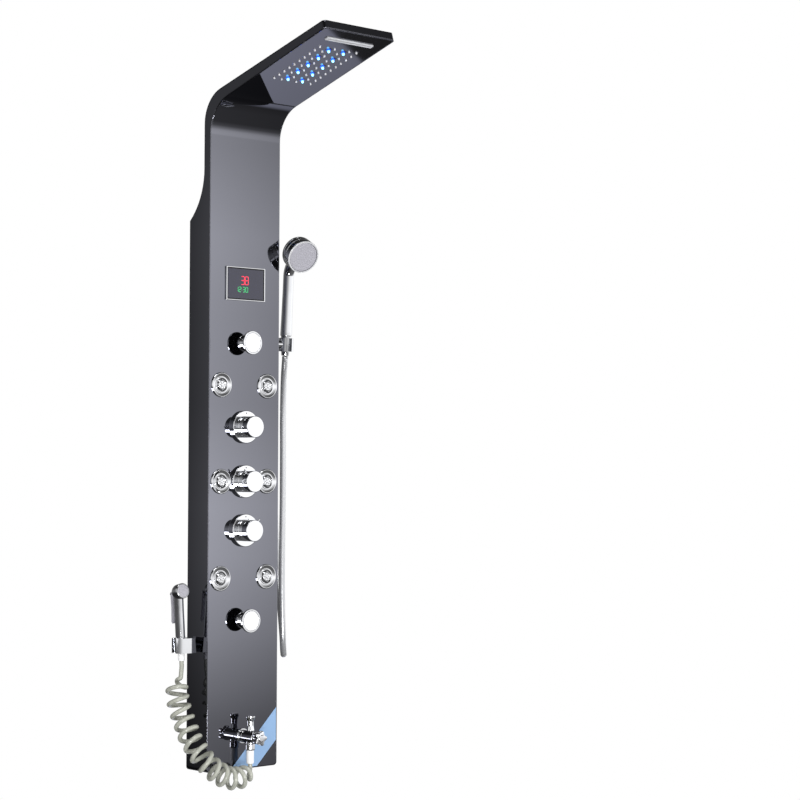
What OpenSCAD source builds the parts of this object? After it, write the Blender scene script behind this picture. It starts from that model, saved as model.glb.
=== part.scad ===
// Shower panel column: wall-hung steel panel with a rain head, body jets, round body sprays,
// a hand shower, a bidet sprayer on a curly hose and a small lower valve.
// X is to the right, +Y runs into the wall, Z is up. The wall is at Y = 0.
// The origin is the centre of the upper wall screws. Heights named _h count from the bottom edge.

/* [Panel] */
// Width across the side flanges
panel_w = 200; // [190:1:240]
// Depth from the wall to the front face
panel_d = 75; // [73:1:90]
// Height of the bend's lower end above the display's middle
bend_rise = 332.5; // [325:0.5:400]
// Thickness of the folded sheet
sheet_t = 1.5; // [1:0.1:2]
// Radius of the front surface in the bend
bend_r = 80; // [70:1:100]
// Radius of the four free corners
corner_r = 8; // [5:1:12]
// Depth of the side flange above the shoulder
neck_d = 23; // [22:0.5:28]
// Outer radius of the flange at the back of the bend
back_r = 76; // [60:1:90]
// Depth of the shoulder below the bend, where the flange leaves the wall
shoulder_drop = 191; // [185:1:200]
// Radius of the curve above the shoulder
shoulder_r = 150; // [100:5:200]

/* [Rain head] */
// Slope of the head above level
head_tilt = 17; // [12:1:24]
// Length of the head beyond the bend
head_l = 350; // [345:1:420]
// Thickness of the head where it leaves the bend
head_root_t = 26; // [25:0.5:32]
// Thickness of the head at its tip
head_tip_t = 18.5; // [18:0.5:24]
// Thickness of the sheet that closes the back
cover_t = 1; // [0.8:0.1:1.5]
// Number of nozzle rows across the head
nozzle_rows = 6; // [4:2:8]
// Number of nozzle places along the head
nozzle_cols = 10; // [6:2:10]
// Distance between nozzle rows
nozzle_row_pitch = 20.8; // [18:0.1:24]
// Distance between nozzle places along a row
nozzle_col_pitch = 17.9; // [15:0.1:18.5]
// Distance from the bend to the first nozzle
nozzle_start = 112.5; // [105:0.5:116]
// Diameter of a nozzle nub
nub_d = 4; // [3:0.1:5]
// How far a nub stands below the sheet
nub_l = 3; // [1:0.1:4]
// Thickness of the nozzle mat
mat_t = 2; // [1.5:0.1:3]
// Height of the rain chamber
chamber_t = 11; // [10.5:0.1:12]
// Diameter of a light lens
lens_d = 6; // [4:0.1:7]
// Length of the waterfall spout across the head
spout_w = 131; // [100:1:150]
// Width of the waterfall spout along the head
spout_l = 11; // [9:0.5:14]
// How far the spout stands below the sheet
spout_t = 3; // [1.5:0.1:4]
// Distance from the bend to the middle of the spout
spout_s = 311; // [309:1:325]

/* [Display] */
// Width of the display bezel
bezel_w = 111; // [90:1:130]
// Height of the display bezel
bezel_l = 76; // [60:1:90]
// Thickness of the bezel
bezel_t = 4; // [3:0.1:6]
// Width of the bezel's rim
bezel_rim = 4.5; // [3:0.1:6]
// Height of the display's middle above the upper spray
display_rise = 134; // [124:0.5:160]
// Thickness of the dark glass
glass_t = 3; // [2:0.1:3]
// Depth of the module behind the sheet
module_t = 14; // [10:1:18]

/* [Knobs] */
// Height of the upper knob above the middle one
knob_rise = 123; // [110:0.5:130]
// Depth of the lower knob below the middle one
knob_drop = 110.5; // [105:0.5:125]
// Diameter of a knob's round flange
flange_d = 74.2; // [60:0.1:74.5]
// Thickness of the flange
flange_t = 8.5; // [5:0.5:10]
// Diameter of a knob
knob_d = 48.6; // [40:0.1:54]
// Distance from the front face to the knob's face
knob_reach = 41; // [34:0.5:50]
// Wall of a knob
knob_wall = 3; // [2:0.1:4]
// Diameter of the lever pin on a knob's rim
pin_d = 3.2; // [2:0.1:4]
// How far the pin stands out
pin_l = 10; // [5:0.5:14]
// Diameter of a valve spindle
spindle_d = 10; // [8:0.1:12]
// Outer diameter of a valve cartridge
cartridge_d = 36; // [32:0.5:38]

/* [Body jets] */
// Distance in height between the pairs of jets, the middle pair level with the middle knob
jet_pitch = 216.75; // [205:0.25:240]
// Distance of a jet from the middle line
jet_x = 65.6; // [65.5:0.1:67]
// Outer diameter of a jet's bezel
jet_d = 56.4; // [52:0.2:56.6]
// Thickness of the bezel
jet_t = 3; // [2:0.1:4]
// Diameter of the jet's barrel through the sheet
jet_barrel_d = 42; // [40:0.5:44]
// Diameter of the nozzle ball
jet_ball_d = 30; // [26:0.5:31]

/* [Round body sprays] */
// Distance in height from the upper jets up to the upper spray, and from the lower jets down to
// the lower one
spray_step = 96; // [85:0.5:110]
// Diameter of the spray disc
spray_d = 53; // [46:0.5:60]
// Distance from the front face to the face of the disc
spray_reach = 30.3; // [28:0.1:36]
// Diameter of the foot on the panel
foot_d = 38; // [32:0.5:44]
// Thickness of the foot
foot_t = 3; // [2:0.1:3.5]
// Diameter of the joint's ball
spray_ball_d = 16; // [14:0.5:17]

/* [Hand shower] */
// Distance of the grip's foot from the middle line
grip_x = 150; // [145:0.5:160]
// Distance of the grip's foot from the wall
grip_y = 40; // [36:0.5:50]
// Height of the grip's foot above the upper spray
grip_rise = 24.5; // [15:0.5:40]
// Forward lean of the grip
grip_lean = 4.5; // [3:0.5:8]
// Turn of the hand shower towards the middle
grip_turn = 10; // [5:1:15]
// Length of the grip
grip_l = 140; // [120:1:150]
// Diameter of the grip at its foot
grip_foot_d = 26.8; // [24:0.1:29]
// Diameter of the grip at its top
grip_top_d = 24.6; // [22:0.1:27]
// Diameter of the spray head
drum_d = 77; // [64:0.5:84]
// Thickness of the spray head
drum_t = 40; // [34:0.5:44]
// How far the head lies ahead of the grip
drum_reach = 47; // [40:0.5:55]
// Height of the head's middle above the grip's foot
drum_rise = 190; // [182:1:200]
// How far the head's face looks down from the grip
drum_tilt = 21; // [15:1:30]
// Wall of the hand shower's shell
shell_t = 2.5; // [2:0.1:4]
// Outer diameter of the holder cup
cup_d = 36; // [34:0.5:42]
// Height of the holder cup
cup_l = 31; // [24:0.5:36]
// Diameter of the hand shower's hose
hose_d = 14; // [12:0.1:15]
// Gap between the hose and the grip's nut, which swings with its holder
hose_play = 1.8; // [1.6:0.1:3]
// Height of the hose outlet above the upper knob
outlet_rise = 40.25; // [35:0.25:55]

/* [Bidet sprayer] */
// Distance of the grip from the middle line, at the holder's top
bidet_x = 138; // [134:0.5:150]
// Distance of the grip from the wall
bidet_y = 26; // [25:0.5:34]
// Depth of the holder's top below the lower spray
bidet_drop = 36; // [20:1:50]
// Lean of the grip away from the panel
bidet_lean = 3.7; // [0:0.1:6]
// Diameter of the bidet grip
bidet_d = 21.5; // [20:0.1:24]
// Length of the grip above the holder
bidet_l = 100; // [90:1:120]
// Diameter of the bidet spray head
bidet_head_d = 34; // [30:0.5:38]
// Outer diameter of the holder's round end
holder_d = 40; // [36:0.5:42]
// Height of the holder
holder_t = 33; // [28:0.5:40]
// Diameter of the curly hose's tube
curl_tube_d = 10; // [8:0.1:11]
// Outer diameter of the curls
curl_d = 53; // [44:1:58]
// Number of curls
curls = 13; // [8:1:15]

/* [Lower valve] */
// Height of the lower valve above the bottom edge
valve_h = 74.5; // [70:0.5:90]
// Height of the lower spray above the lower valve
spray_rise = 259.5; // [240:0.5:300]
// Diameter of the valve's body
valve_d = 28; // [24:0.5:32]
// Distance from the front face to the body's branch
valve_branch = 29; // [24:0.5:34]
// Diameter of the lobed handle
lobe_d = 35; // [30:0.5:42]
// Length of the pull knob
pull_l = 34; // [24:0.5:40]
// Length of the outlet's plastic nut
valve_nut_l = 30; // [20:0.5:34]

/* [Wall fixing] */
// Height of the upper wall screws above the display
hang_rise = 56.5; // [45:0.5:70]
// Height of the lower wall screws above the lower valve
lower_hang_rise = 105.5; // [90:0.5:130]
// Width of a wall bracket
bracket_w = 150; // [140:1:170]
// Height of a wall bracket
bracket_l = 44; // [40:1:60]
// Thickness of a wall bracket
bracket_t = 2.5; // [2:0.1:4]
// Distance between wall screws across
screw_pitch_x = 120; // [110:1:126]
// Distance between wall screws in height
screw_pitch_z = 24; // [20:1:30]
// Diameter of a wall screw's hole
screw_d = 5.5; // [4.5:0.1:6.5]
// Distance between the hot and cold inlets
inlet_pitch = 150; // [146:1:160]
// Bore of an inlet nut for a half inch thread
inlet_bore = 18.6; // [18.6]
// Outer diameter of the inner pipes
pipe_d = 12; // [10:0.5:12]
// Wall of the inner pipes
pipe_wall = 1; // [0.8:0.1:1.5]

/* [Hidden] */
$fn = 64;
hull_fn = 32;

// Overrun of a cut past the face that it goes through
cut = 1;
// Gap at a soft or loose seat
seat_gap = 0.3;
// Radial clearance of a running fit
run_gap = 0.05;
// Clearance round a piece that passes through the sheet
hole_gap = 0.2;

// Heights from the bottom edge, each from the one below it
lower_spray_h = valve_h + spray_rise;
lower_jet_h = lower_spray_h + spray_step;
middle_jet_h = lower_jet_h + jet_pitch;
upper_jet_h = middle_jet_h + jet_pitch;
middle_knob_h = middle_jet_h;
lower_knob_h = middle_knob_h - knob_drop;
upper_knob_h = middle_knob_h + knob_rise;
upper_spray_h = upper_jet_h + spray_step;
display_h = upper_spray_h + display_rise;
straight_h = display_h + bend_rise;
shoulder_h = straight_h - shoulder_drop;
hang_h = display_h + hang_rise;
lower_hang_h = valve_h + lower_hang_rise;
grip_h = upper_spray_h + grip_rise;
outlet_h = upper_knob_h + outlet_rise;
bidet_h = lower_spray_h - bidet_drop;

// Places in the side view, as [distance from the wall, height]
bend_y = -panel_d - bend_r;
neck_y = -(panel_d - neck_d);
head_root = [bend_y + bend_r * sin(head_tilt), straight_h + bend_r * cos(head_tilt)];
function head_at(s, up) = head_root + s * [-cos(head_tilt), sin(head_tilt)]
    + up * [sin(head_tilt), cos(head_tilt)];
back_a = head_at(0, head_root_t);
back_b = head_at(head_l, head_tip_t);
back_tilt = atan2(back_b.y - back_a.y, back_a.x - back_b.x);
back_c = [neck_y - back_r,
    back_a.y - (back_r - (back_a.x - neck_y + back_r) * sin(back_tilt)) / cos(back_tilt)];
bend_depth = norm(back_c - [bend_y, straight_h]) + back_r - bend_r + cut;
shoulder_c = [neck_y + shoulder_r,
    shoulder_h + sqrt(pow(shoulder_r, 2) - pow(neck_y + shoulder_r, 2))];

// Places that several pieces share
fold_w = panel_w - 2 * sheet_t;
knob_heights = [upper_knob_h, middle_knob_h, lower_knob_h];
jet_heights = [upper_jet_h, middle_jet_h, lower_jet_h];
spray_heights = [upper_spray_h, lower_spray_h];
manifold_y = -28;
manifold_d = 32;
jet_pipe_y = -48;
pipe_depth = 9;
feed_h = (upper_knob_h + middle_knob_h) / 2;
tail_d = 18;
tail_l = 12;
bidet_nut_gap = 0.4;
bidet_nut_l = 17;
branch_y = -panel_d - valve_branch;
outlet_collar_l = 15;
valve_nut_top = valve_h - valve_d / 2 - outlet_collar_l;

// A child whose heights count from the bottom edge
module from_bottom() translate([0, 0, -hang_h]) children();
// A child whose Z points out of the front face, Y up
module on_front(x, h) translate([x, -panel_d, h]) rotate([90, 0, 0]) children();
// A child whose Z points out of the head's underside, Y towards the tip
module on_head(x, s) translate([x, head_at(s, 0).x, head_at(s, 0).y])
    rotate([180 - head_tilt, 0, 0]) children();
// A straight rod between two points
module rod(a, b, d) {
    v = b - a;
    translate(a) rotate([0, acos(v.z / norm(v)), atan2(v.y, v.x)]) cylinder(d = d, h = norm(v));
}
// A pipe along points, with a round elbow at each turn
function unit(v) = v / norm(v);
module pipe(points) {
    last = len(points) - 1;
    for (i = [0:last - 1]) rod(points[i], points[i + 1], pipe_d);
    if (last > 1) for (i = [1:last - 1]) translate(points[i]) sphere(d = pipe_d + 2 * pipe_wall);
}
module ring(outer_d, inner_d, h) difference() {
    cylinder(d = outer_d, h = h);
    translate([0, 0, -cut]) cylinder(d = inner_d, h = h + 2 * cut);
}
module box(size) translate([-size.x / 2, -size.y / 2, 0]) cube(size);

// Side view of the space in front of the sheet, moved back by an inset
module front_2d(inset) {
    far = head_at(2 * head_l, inset);
    translate([bend_y, straight_h]) circle(bend_r + inset);
    translate([far.x, -panel_d]) square([inset - panel_d - far.x, straight_h + panel_d]);
    polygon([[bend_y, straight_h], head_at(0, inset), far, [far.x, straight_h]]);
}
// Plan that ends at y = 0 with two rounded corners, drawn in by an inset
module end_2d(inset) {
    run = 2 * straight_h;
    translate([inset - panel_w / 2, -corner_r - run]) square([panel_w - 2 * inset, run]);
    translate([corner_r - panel_w / 2, -2 * corner_r])
        square([panel_w - 2 * corner_r, 2 * corner_r - inset]);
    for (side = [-1, 1]) translate([side * (panel_w / 2 - corner_r), -corner_r])
        circle(corner_r - inset);
}
module foot_block(inset) rotate([-90, 0, 0]) linear_extrude(4 * straight_h, center = true)
    end_2d(inset);
module tip_block(inset) on_head(0, head_l) linear_extrude(4 * straight_h, center = true)
    end_2d(inset);
// Side view of the space that the flanges fill, its back edge drawn in by an inset
module side_2d(inset, reach) {
    low = head_at(reach, 0).x;
    top = [sin(back_tilt), cos(back_tilt)];
    tip_t = head_root_t + reach * (head_tip_t - head_root_t) / head_l;
    far = head_at(reach, tip_t) - inset * top;
    difference() {
        union() {
            translate([low, 0]) square([-low - inset, shoulder_c.y]);
            translate([low, 0]) square([neck_y - inset - low, back_c.y]);
            translate(back_c) circle(back_r - inset);
            polygon([back_c, back_c + (back_r - inset) * top, far, head_at(reach, 0), [low, 0],
                [back_c.x, 0]]);
        }
        translate(shoulder_c) circle(shoulder_r + inset);
    }
}
module side_block(w, inset, reach) rotate([90, 0, 90]) linear_extrude(w, center = true)
    side_2d(inset, reach);

// Front panel

slot_gap = 0.5;
display_hole = [bezel_w - 4 * bezel_rim, bezel_l - 4 * bezel_rim];
spout_slot = [spout_w - 2 * spout_t, spout_l - 2 * spout_t];
holder_screw_d = 5;
outlet_d = 20;
knob_hole_d = 2 * spindle_d;
function nozzle_x(row) = (row - (nozzle_rows - 1) / 2) * nozzle_row_pitch;
function nozzle_s(col) = nozzle_start + col * nozzle_col_pitch;
// The two outer rows are full, and the inner rows hold every other place in turn
function has_nozzle(row, col) = row == 0 || row == nozzle_rows - 1 || (row + col) % 2 == 1;
light_rows = [for (side = [-1, 1]) (nozzle_rows - 1) / 2 + side];
module at_nozzles() for (row = [0:nozzle_rows - 1], col = [0:nozzle_cols - 1])
    if (has_nozzle(row, col)) on_head(nozzle_x(row), nozzle_s(col)) children();
module at_lights() for (row = light_rows, k = [0:nozzle_cols / 2 - 1])
    on_head(nozzle_x(row), nozzle_s(2 * k + 0.5)) children();
module at_jets() for (side = [-1, 1], h = jet_heights) on_front(side * jet_x, h) children();
module through(d) translate([0, 0, -sheet_t - cut]) cylinder(d = d, h = sheet_t + 2 * cut);
module front_panel() color([0.38, 0.38, 0.4]) from_bottom() difference() {
    intersection() {
        rotate([90, 0, 90]) linear_extrude(panel_w, center = true) difference() {
            side_2d(0, head_l);
            front_2d(0);
        }
        foot_block(0);
        tip_block(0);
    }
    intersection() {
        rotate([90, 0, 90]) linear_extrude(fold_w, center = true) difference() {
            polygon([[cut, -cut], [-panel_d - cut, -cut], [bend_y, straight_h],
                head_at(2 * head_l, 0), head_at(2 * head_l, 4 * head_root_t),
                [cut, straight_h + head_l]]);
            front_2d(sheet_t);
        }
        foot_block(sheet_t);
        tip_block(sheet_t);
    }
    on_front(0, display_h) translate([0, 0, -sheet_t - cut])
        box([display_hole.x, display_hole.y, sheet_t + 2 * cut]);
    for (h = knob_heights) on_front(0, h) through(knob_hole_d);
    at_jets() through(jet_barrel_d + 2 * hole_gap);
    for (h = spray_heights) on_front(0, h) through(tail_d + 2 * hole_gap);
    on_front(0, valve_h) through(tail_d + 2 * hole_gap);
    at_nozzles() through(nub_d + 2 * hole_gap);
    at_lights() through(lens_d + 2 * hole_gap);
    on_head(0, spout_s) translate([0, 0, -sheet_t - cut])
        box([spout_slot.x, spout_slot.y, sheet_t + 2 * cut]);
    translate([panel_w / 2, bracket_y, bracket_h]) rotate([0, 90, 0]) through(holder_screw_d);
    translate([panel_w / 2, manifold_y, outlet_h]) rotate([0, 90, 0]) through(outlet_d);
    translate([-panel_w / 2, holder_boss_y, bidet_h - holder_t / 2]) rotate([0, -90, 0])
        through(holder_screw_d);
}
module head_cover() color([0.3, 0.3, 0.32]) from_bottom() {
    w = fold_w - 2 * seat_gap;
    difference() {
        intersection() {
            side_block(w, seat_gap, head_l);
            tip_block(sheet_t + seat_gap);
        }
        side_block(w + 2 * cut, seat_gap + cover_t, head_l + cut);
        translate([-panel_w / 2, -panel_d - cut, -cut])
            cube([panel_w, panel_d + 2 * cut, shoulder_h + 2 * cut]);
    }
}

// Wall brackets and hang bars

hook_x = 45;
hook_w = 20;
hook_gap = 7;
hook_lip = 16;
hook_y = bracket_t + hook_gap;
bar_t = 2.5;
bar_l = 30;
module wall_bracket() color([0.7, 0.7, 0.72]) {
    difference() {
        translate([-bracket_w / 2, -bracket_t, -bracket_l / 2]) cube([bracket_w, bracket_t, bracket_l]);
        for (x = [-1, 1], z = [-1, 1])
            translate([x * screw_pitch_x / 2, cut, z * screw_pitch_z / 2]) rotate([90, 0, 0])
                cylinder(d = screw_d, h = bracket_t + 2 * cut);
    }
    for (side = [-1, 1]) translate([side * hook_x - hook_w / 2, -hook_y - bracket_t, -hook_lip]) {
        cube([hook_w, hook_y + bracket_t / 2, bracket_t]);
        cube([hook_w, bracket_t, hook_lip]);
    }
}
module upper_wall_bracket() wall_bracket();
module lower_wall_bracket() from_bottom() translate([0, 0, lower_hang_h]) wall_bracket();
module hang_bars() color([0.6, 0.6, 0.62]) from_bottom() for (h = [hang_h, lower_hang_h])
    translate([-fold_w / 2, seat_gap - hook_y, h - hook_lip + bracket_t])
        cube([fold_w, bar_t, bar_l]);

// Rain head

field_margin = 12;
field_s0 = nozzle_s(0) - field_margin;
field_s1 = nozzle_s(nozzle_cols - 1) + field_margin;
field_l = field_s1 - field_s0;
field_mid = (field_s0 + field_s1) / 2;
field_w = (nozzle_rows - 1) * nozzle_row_pitch + field_margin;
chamber_wall = 1.5;
groove_wall = 1.5;
groove_w = lens_d + 2 * groove_wall;
strip_t = 1.2;
strip_l = field_l - 2 * field_margin;
nub_bore = 1.4;
module nozzle_mat() color("white") from_bottom() difference() {
    union() {
        on_head(0, field_mid) translate([0, 0, -sheet_t - mat_t]) box([field_w, field_l, mat_t]);
        at_nozzles() translate([0, 0, -sheet_t - mat_t / 2])
            cylinder(d = nub_d, h = sheet_t + mat_t / 2 + nub_l);
    }
    at_nozzles() translate([0, 0, -sheet_t - mat_t - cut])
        cylinder(d = nub_bore, h = sheet_t + mat_t + nub_l + 2 * cut);
    at_lights() translate([0, 0, -sheet_t - mat_t - cut])
        cylinder(d = lens_d + 2 * hole_gap, h = mat_t + sheet_t + 2 * cut);
}
module rain_chamber() color("lightgray") from_bottom() difference() {
    wet_w = field_w - 2 * chamber_wall;
    wall_x = groove_w / 2 + chamber_wall;
    on_head(0, field_mid) translate([0, 0, -sheet_t - mat_t - chamber_t])
        box([field_w, field_l, chamber_t]);
    difference() {
        on_head(0, field_mid) translate([0, 0, -sheet_t - mat_t - chamber_t + chamber_wall])
            box([wet_w, field_l - 2 * chamber_wall, chamber_t]);
        for (row = light_rows) on_head(nozzle_x(row), field_mid)
            translate([0, 0, -sheet_t - mat_t - chamber_t])
                box([2 * wall_x, strip_l + 2 * chamber_wall, 2 * chamber_t]);
    }
    for (row = light_rows) on_head(nozzle_x(row), field_mid)
        translate([0, 0, -sheet_t - mat_t - chamber_t / 2]) box([groove_w, strip_l, chamber_t]);
    on_head(rain_pipe_x, field_s0) translate([0, -cut, -pipe_depth]) rotate([-90, 0, 0])
        cylinder(d = pipe_d - 4 * pipe_wall, h = chamber_wall + 2 * cut);
}
module led_strips() color("seagreen") from_bottom() for (row = light_rows)
    on_head(nozzle_x(row), field_mid) translate([0, 0, -sheet_t - mat_t - strip_t])
        box([groove_w - 2 * hole_gap, strip_l - 2 * hole_gap, strip_t]);
module led_lenses() color("deepskyblue") from_bottom() at_lights()
    translate([0, 0, -sheet_t - mat_t]) cylinder(d = lens_d, h = sheet_t + mat_t + slot_gap);
spout_lip = spout_t / 2;
falls_t = 13.5;
module waterfall_spout() color("gainsboro") from_bottom() on_head(0, spout_s) difference() {
    union() {
        box([spout_w, spout_l, spout_t]);
        translate([0, 0, -sheet_t])
            box([spout_slot.x - slot_gap, spout_slot.y - slot_gap, sheet_t + spout_t / 2]);
    }
    translate([0, 0, -sheet_t - cut])
        box([spout_slot.x - 2 * spout_lip, spout_slot.y - 2 * spout_lip, sheet_t + spout_t + 2 * cut]);
}
falls_w = spout_w + 2 * chamber_wall;
falls_l = spout_l + 12 * chamber_wall;
module waterfall_chamber() color("lightgray") from_bottom() on_head(0, spout_s) difference() {
    translate([0, 0, -sheet_t - falls_t]) box([falls_w, falls_l, falls_t]);
    translate([0, 0, -sheet_t - falls_t + chamber_wall])
        box([falls_w - 2 * chamber_wall, falls_l - 2 * chamber_wall, falls_t - 2 * chamber_wall]);
    translate([0, 0, -sheet_t - 2 * chamber_wall])
        box([spout_slot.x - 2 * spout_lip, spout_slot.y - 2 * spout_lip, 2 * chamber_wall + cut]);
    translate([-falls_w / 2 - cut, 0, -pipe_depth]) rotate([0, 90, 0])
        cylinder(d = pipe_d - 4 * pipe_wall, h = chamber_wall + 2 * cut);
}

// Display

module display_bezel() color("silver") from_bottom() on_front(0, display_h) difference() {
    box([bezel_w, bezel_l, bezel_t]);
    translate([0, 0, -cut])
        box([bezel_w - 2 * bezel_rim, bezel_l - 2 * bezel_rim, bezel_t + 2 * cut]);
}
module display_glass() color([0.1, 0.1, 0.14]) from_bottom() on_front(0, display_h)
    box([bezel_w - 2 * bezel_rim - 2 * hole_gap, bezel_l - 2 * bezel_rim - 2 * hole_gap, glass_t]);
module display_module() color("darkgreen") from_bottom() on_front(0, display_h)
    translate([0, 0, -sheet_t - module_t])
        box([bezel_w - bezel_rim, bezel_l - bezel_rim, module_t]);

// Manifold, cartridges and pipes

cup_wall = 4;
cup_r = cartridge_d / 2 + cup_wall;
cup_depth = panel_d + manifold_y;
port_d = 16;
port_reach = 8;
port_l = manifold_d / 2 + port_reach;
manifold_rise = 80;
manifold_top = upper_knob_h + manifold_rise;
inlet_d = 22;
union_l = 16.5;
union_d = 28;
union_seat = 6;
nipple_end = -union_l + union_seat;
check_l = 9;
module valve_manifold() color("goldenrod") from_bottom() difference() {
    union() {
        translate([0, manifold_y, lower_knob_h - manifold_d])
            cylinder(d = manifold_d, h = manifold_top - lower_knob_h + manifold_d);
        for (h = knob_heights) on_front(0, h) translate([0, 0, -cup_depth])
            cylinder(r = cup_r, h = cup_depth - sheet_t);
        rod([-inlet_pitch / 2, manifold_y, lower_knob_h], [inlet_pitch / 2, manifold_y, lower_knob_h],
            inlet_d);
        for (side = [-1, 1]) translate([side * inlet_pitch / 2, 0, 0]) {
            translate([0, manifold_y, lower_knob_h]) sphere(d = inlet_d);
            rod([0, manifold_y, lower_knob_h], [0, nipple_end, lower_knob_h], inlet_d - 2 * pipe_wall);
        }
        rod([-port_l, manifold_y, feed_h], [port_l, manifold_y, feed_h], port_d);
        rod([-port_l, manifold_y, falls_h], [0, manifold_y, falls_h], port_d);
        rod([0, manifold_y, outlet_h], [port_l, manifold_y, outlet_h], port_d);
    }
    for (h = knob_heights) on_front(0, h) translate([0, 0, -cup_depth + pipe_wall])
        cylinder(d = cartridge_d + 2 * hole_gap, h = cup_depth);
    translate([0, manifold_y, lower_knob_h])
        cylinder(d = port_d / 2, h = manifold_top - lower_knob_h + cut);
    rod([-inlet_pitch / 2, manifold_y, lower_knob_h], [inlet_pitch / 2, manifold_y, lower_knob_h],
        port_d / 2);
    for (side = [-1, 1])
        rod([side * inlet_pitch / 2, manifold_y, lower_knob_h],
            [side * inlet_pitch / 2, nipple_end + cut, lower_knob_h], check_d + 2 * hole_gap);
    for (h = [feed_h, falls_h])
        rod([-port_l - cut, manifold_y, h], [0, manifold_y, h], port_d / 2);
    for (h = [feed_h, outlet_h])
        rod([0, manifold_y, h], [port_l + cut, manifold_y, h], port_d / 2);
}
check_wall = 1;
check_d = port_d - 2 * check_wall;
module check_valves() color("white") from_bottom() for (side = [-1, 1])
    translate([side * inlet_pitch / 2, nipple_end - check_l, lower_knob_h]) rotate([-90, 0, 0])
        ring(check_d, check_d / 2, check_l);
module union_nuts() color("goldenrod") from_bottom() for (side = [-1, 1])
    translate([side * inlet_pitch / 2, -union_l, lower_knob_h]) rotate([-90, 0, 0]) difference() {
        cylinder(d = union_d, h = union_l, $fn = 6);
        translate([0, 0, -cut]) cylinder(d = inlet_d - 2 * pipe_wall + 2 * hole_gap, h = union_seat + cut);
        cylinder(d = port_d, h = union_l);
        translate([0, 0, union_l - union_thread]) cylinder(d = inlet_bore, h = union_thread + cut);
    }
union_thread = 10;
cartridge_l = cup_depth - pipe_wall - sheet_t - seat_gap;
cartridge_floor = 4;
spindle_back = cartridge_l - cartridge_floor;
module valve_cartridges() color("ivory") from_bottom() for (h = knob_heights)
    on_front(0, h) translate([0, 0, -sheet_t - cartridge_l]) difference() {
        cylinder(d = cartridge_d, h = cartridge_l);
        translate([0, 0, cartridge_l - spindle_back])
            cylinder(d = spindle_d + 2 * run_gap, h = cartridge_l);
    }

rain_pipe_x = 35;
rain_pipe_y = -40;
falls_x = 78;
falls_drop = 20;
falls_h = manifold_top - falls_drop;
neck_pipe_y = -panel_d + pipe_depth;
jog_low = hang_h + bracket_l;
jog_high = shoulder_h + 4 * pipe_d;
generator_rise = 40;
generator_h = manifold_top + generator_rise;
generator_l = 60;
generator_d = 32;
function round_bend(x) = [for (turn = [0:0.25:1]) let (a = turn * (90 - head_tilt))
    [x, bend_y + (bend_r + pipe_depth) * cos(a), straight_h + (bend_r + pipe_depth) * sin(a)]];
function over_head(x, s) = [x, head_at(s, pipe_depth).x, head_at(s, pipe_depth).y];
module riser_pipes() color("peru") from_bottom() {
    pipe([[0, manifold_y, manifold_top], [0, manifold_y, manifold_top + pipe_d],
        [rain_pipe_x, rain_pipe_y, generator_h - pipe_d],
        [rain_pipe_x, rain_pipe_y, generator_h]]);
    pipe(concat([[rain_pipe_x, rain_pipe_y, generator_h + generator_l],
        [rain_pipe_x, rain_pipe_y, jog_low], [rain_pipe_x, neck_pipe_y, jog_high]],
        round_bend(rain_pipe_x), [over_head(rain_pipe_x, field_s0)]));
    pipe(concat([[-port_l, manifold_y, falls_h], [-falls_x, manifold_y, falls_h],
        [-falls_x, manifold_y, jog_low], [-falls_x, neck_pipe_y, jog_high]],
        round_bend(-falls_x), [over_head(-falls_x, spout_s), over_head(-falls_w / 2, spout_s)]));
}
module turbine_generator() color([0.15, 0.15, 0.17]) from_bottom()
    translate([rain_pipe_x, rain_pipe_y, generator_h])
        ring(generator_d, pipe_d - 2 * pipe_wall, generator_l);

jet_depth = 19;
spray_tail_y = -panel_d + tail_l;
// Feeds of the jets, the two round sprays, the lower valve and the hand shower
supply_top = upper_jet_h + jet_d;
supply_foot = lower_jet_h - jet_d;
function jet_runs(side, x) = [
    [[side * port_l, manifold_y, feed_h], [side * (port_l + pipe_d), manifold_y, feed_h],
        [x, jet_pipe_y, feed_h]],
    [[x, jet_pipe_y, lower_jet_h - pipe_d], [x, jet_pipe_y, upper_jet_h + pipe_d]]];
function jet_stubs(x) = [for (h = jet_heights) [[x, jet_pipe_y, h], [x, jet_depth - panel_d, h]]];
spray_runs = [
    [[-jet_x, jet_pipe_y, upper_jet_h], [-jet_x, jet_pipe_y, supply_top],
        [0, jet_pipe_y, supply_top], [0, jet_pipe_y, upper_spray_h],
        [0, spray_tail_y, upper_spray_h]],
    [[-jet_x, jet_pipe_y, lower_jet_h], [-jet_x, jet_pipe_y, supply_foot],
        [0, jet_pipe_y, supply_foot], [0, jet_pipe_y, valve_h], [0, spray_tail_y, valve_h]],
    [[0, jet_pipe_y, lower_spray_h], [0, spray_tail_y, lower_spray_h]]];
module jet_supply_pipes() color("peru") from_bottom() {
    runs = concat(jet_runs(-1, -jet_x), jet_runs(1, jet_x), spray_runs);
    stubs = concat(jet_stubs(-jet_x), jet_stubs(jet_x));
    for (run = runs) pipe(run);
    for (stub = stubs) rod(stub[0], stub[1], pipe_d - 2 * pipe_wall);
    pipe([[port_l, manifold_y, outlet_h], [outlet_stub_x, manifold_y, outlet_h]]);
}

// Hose outlet on the right flange

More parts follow.
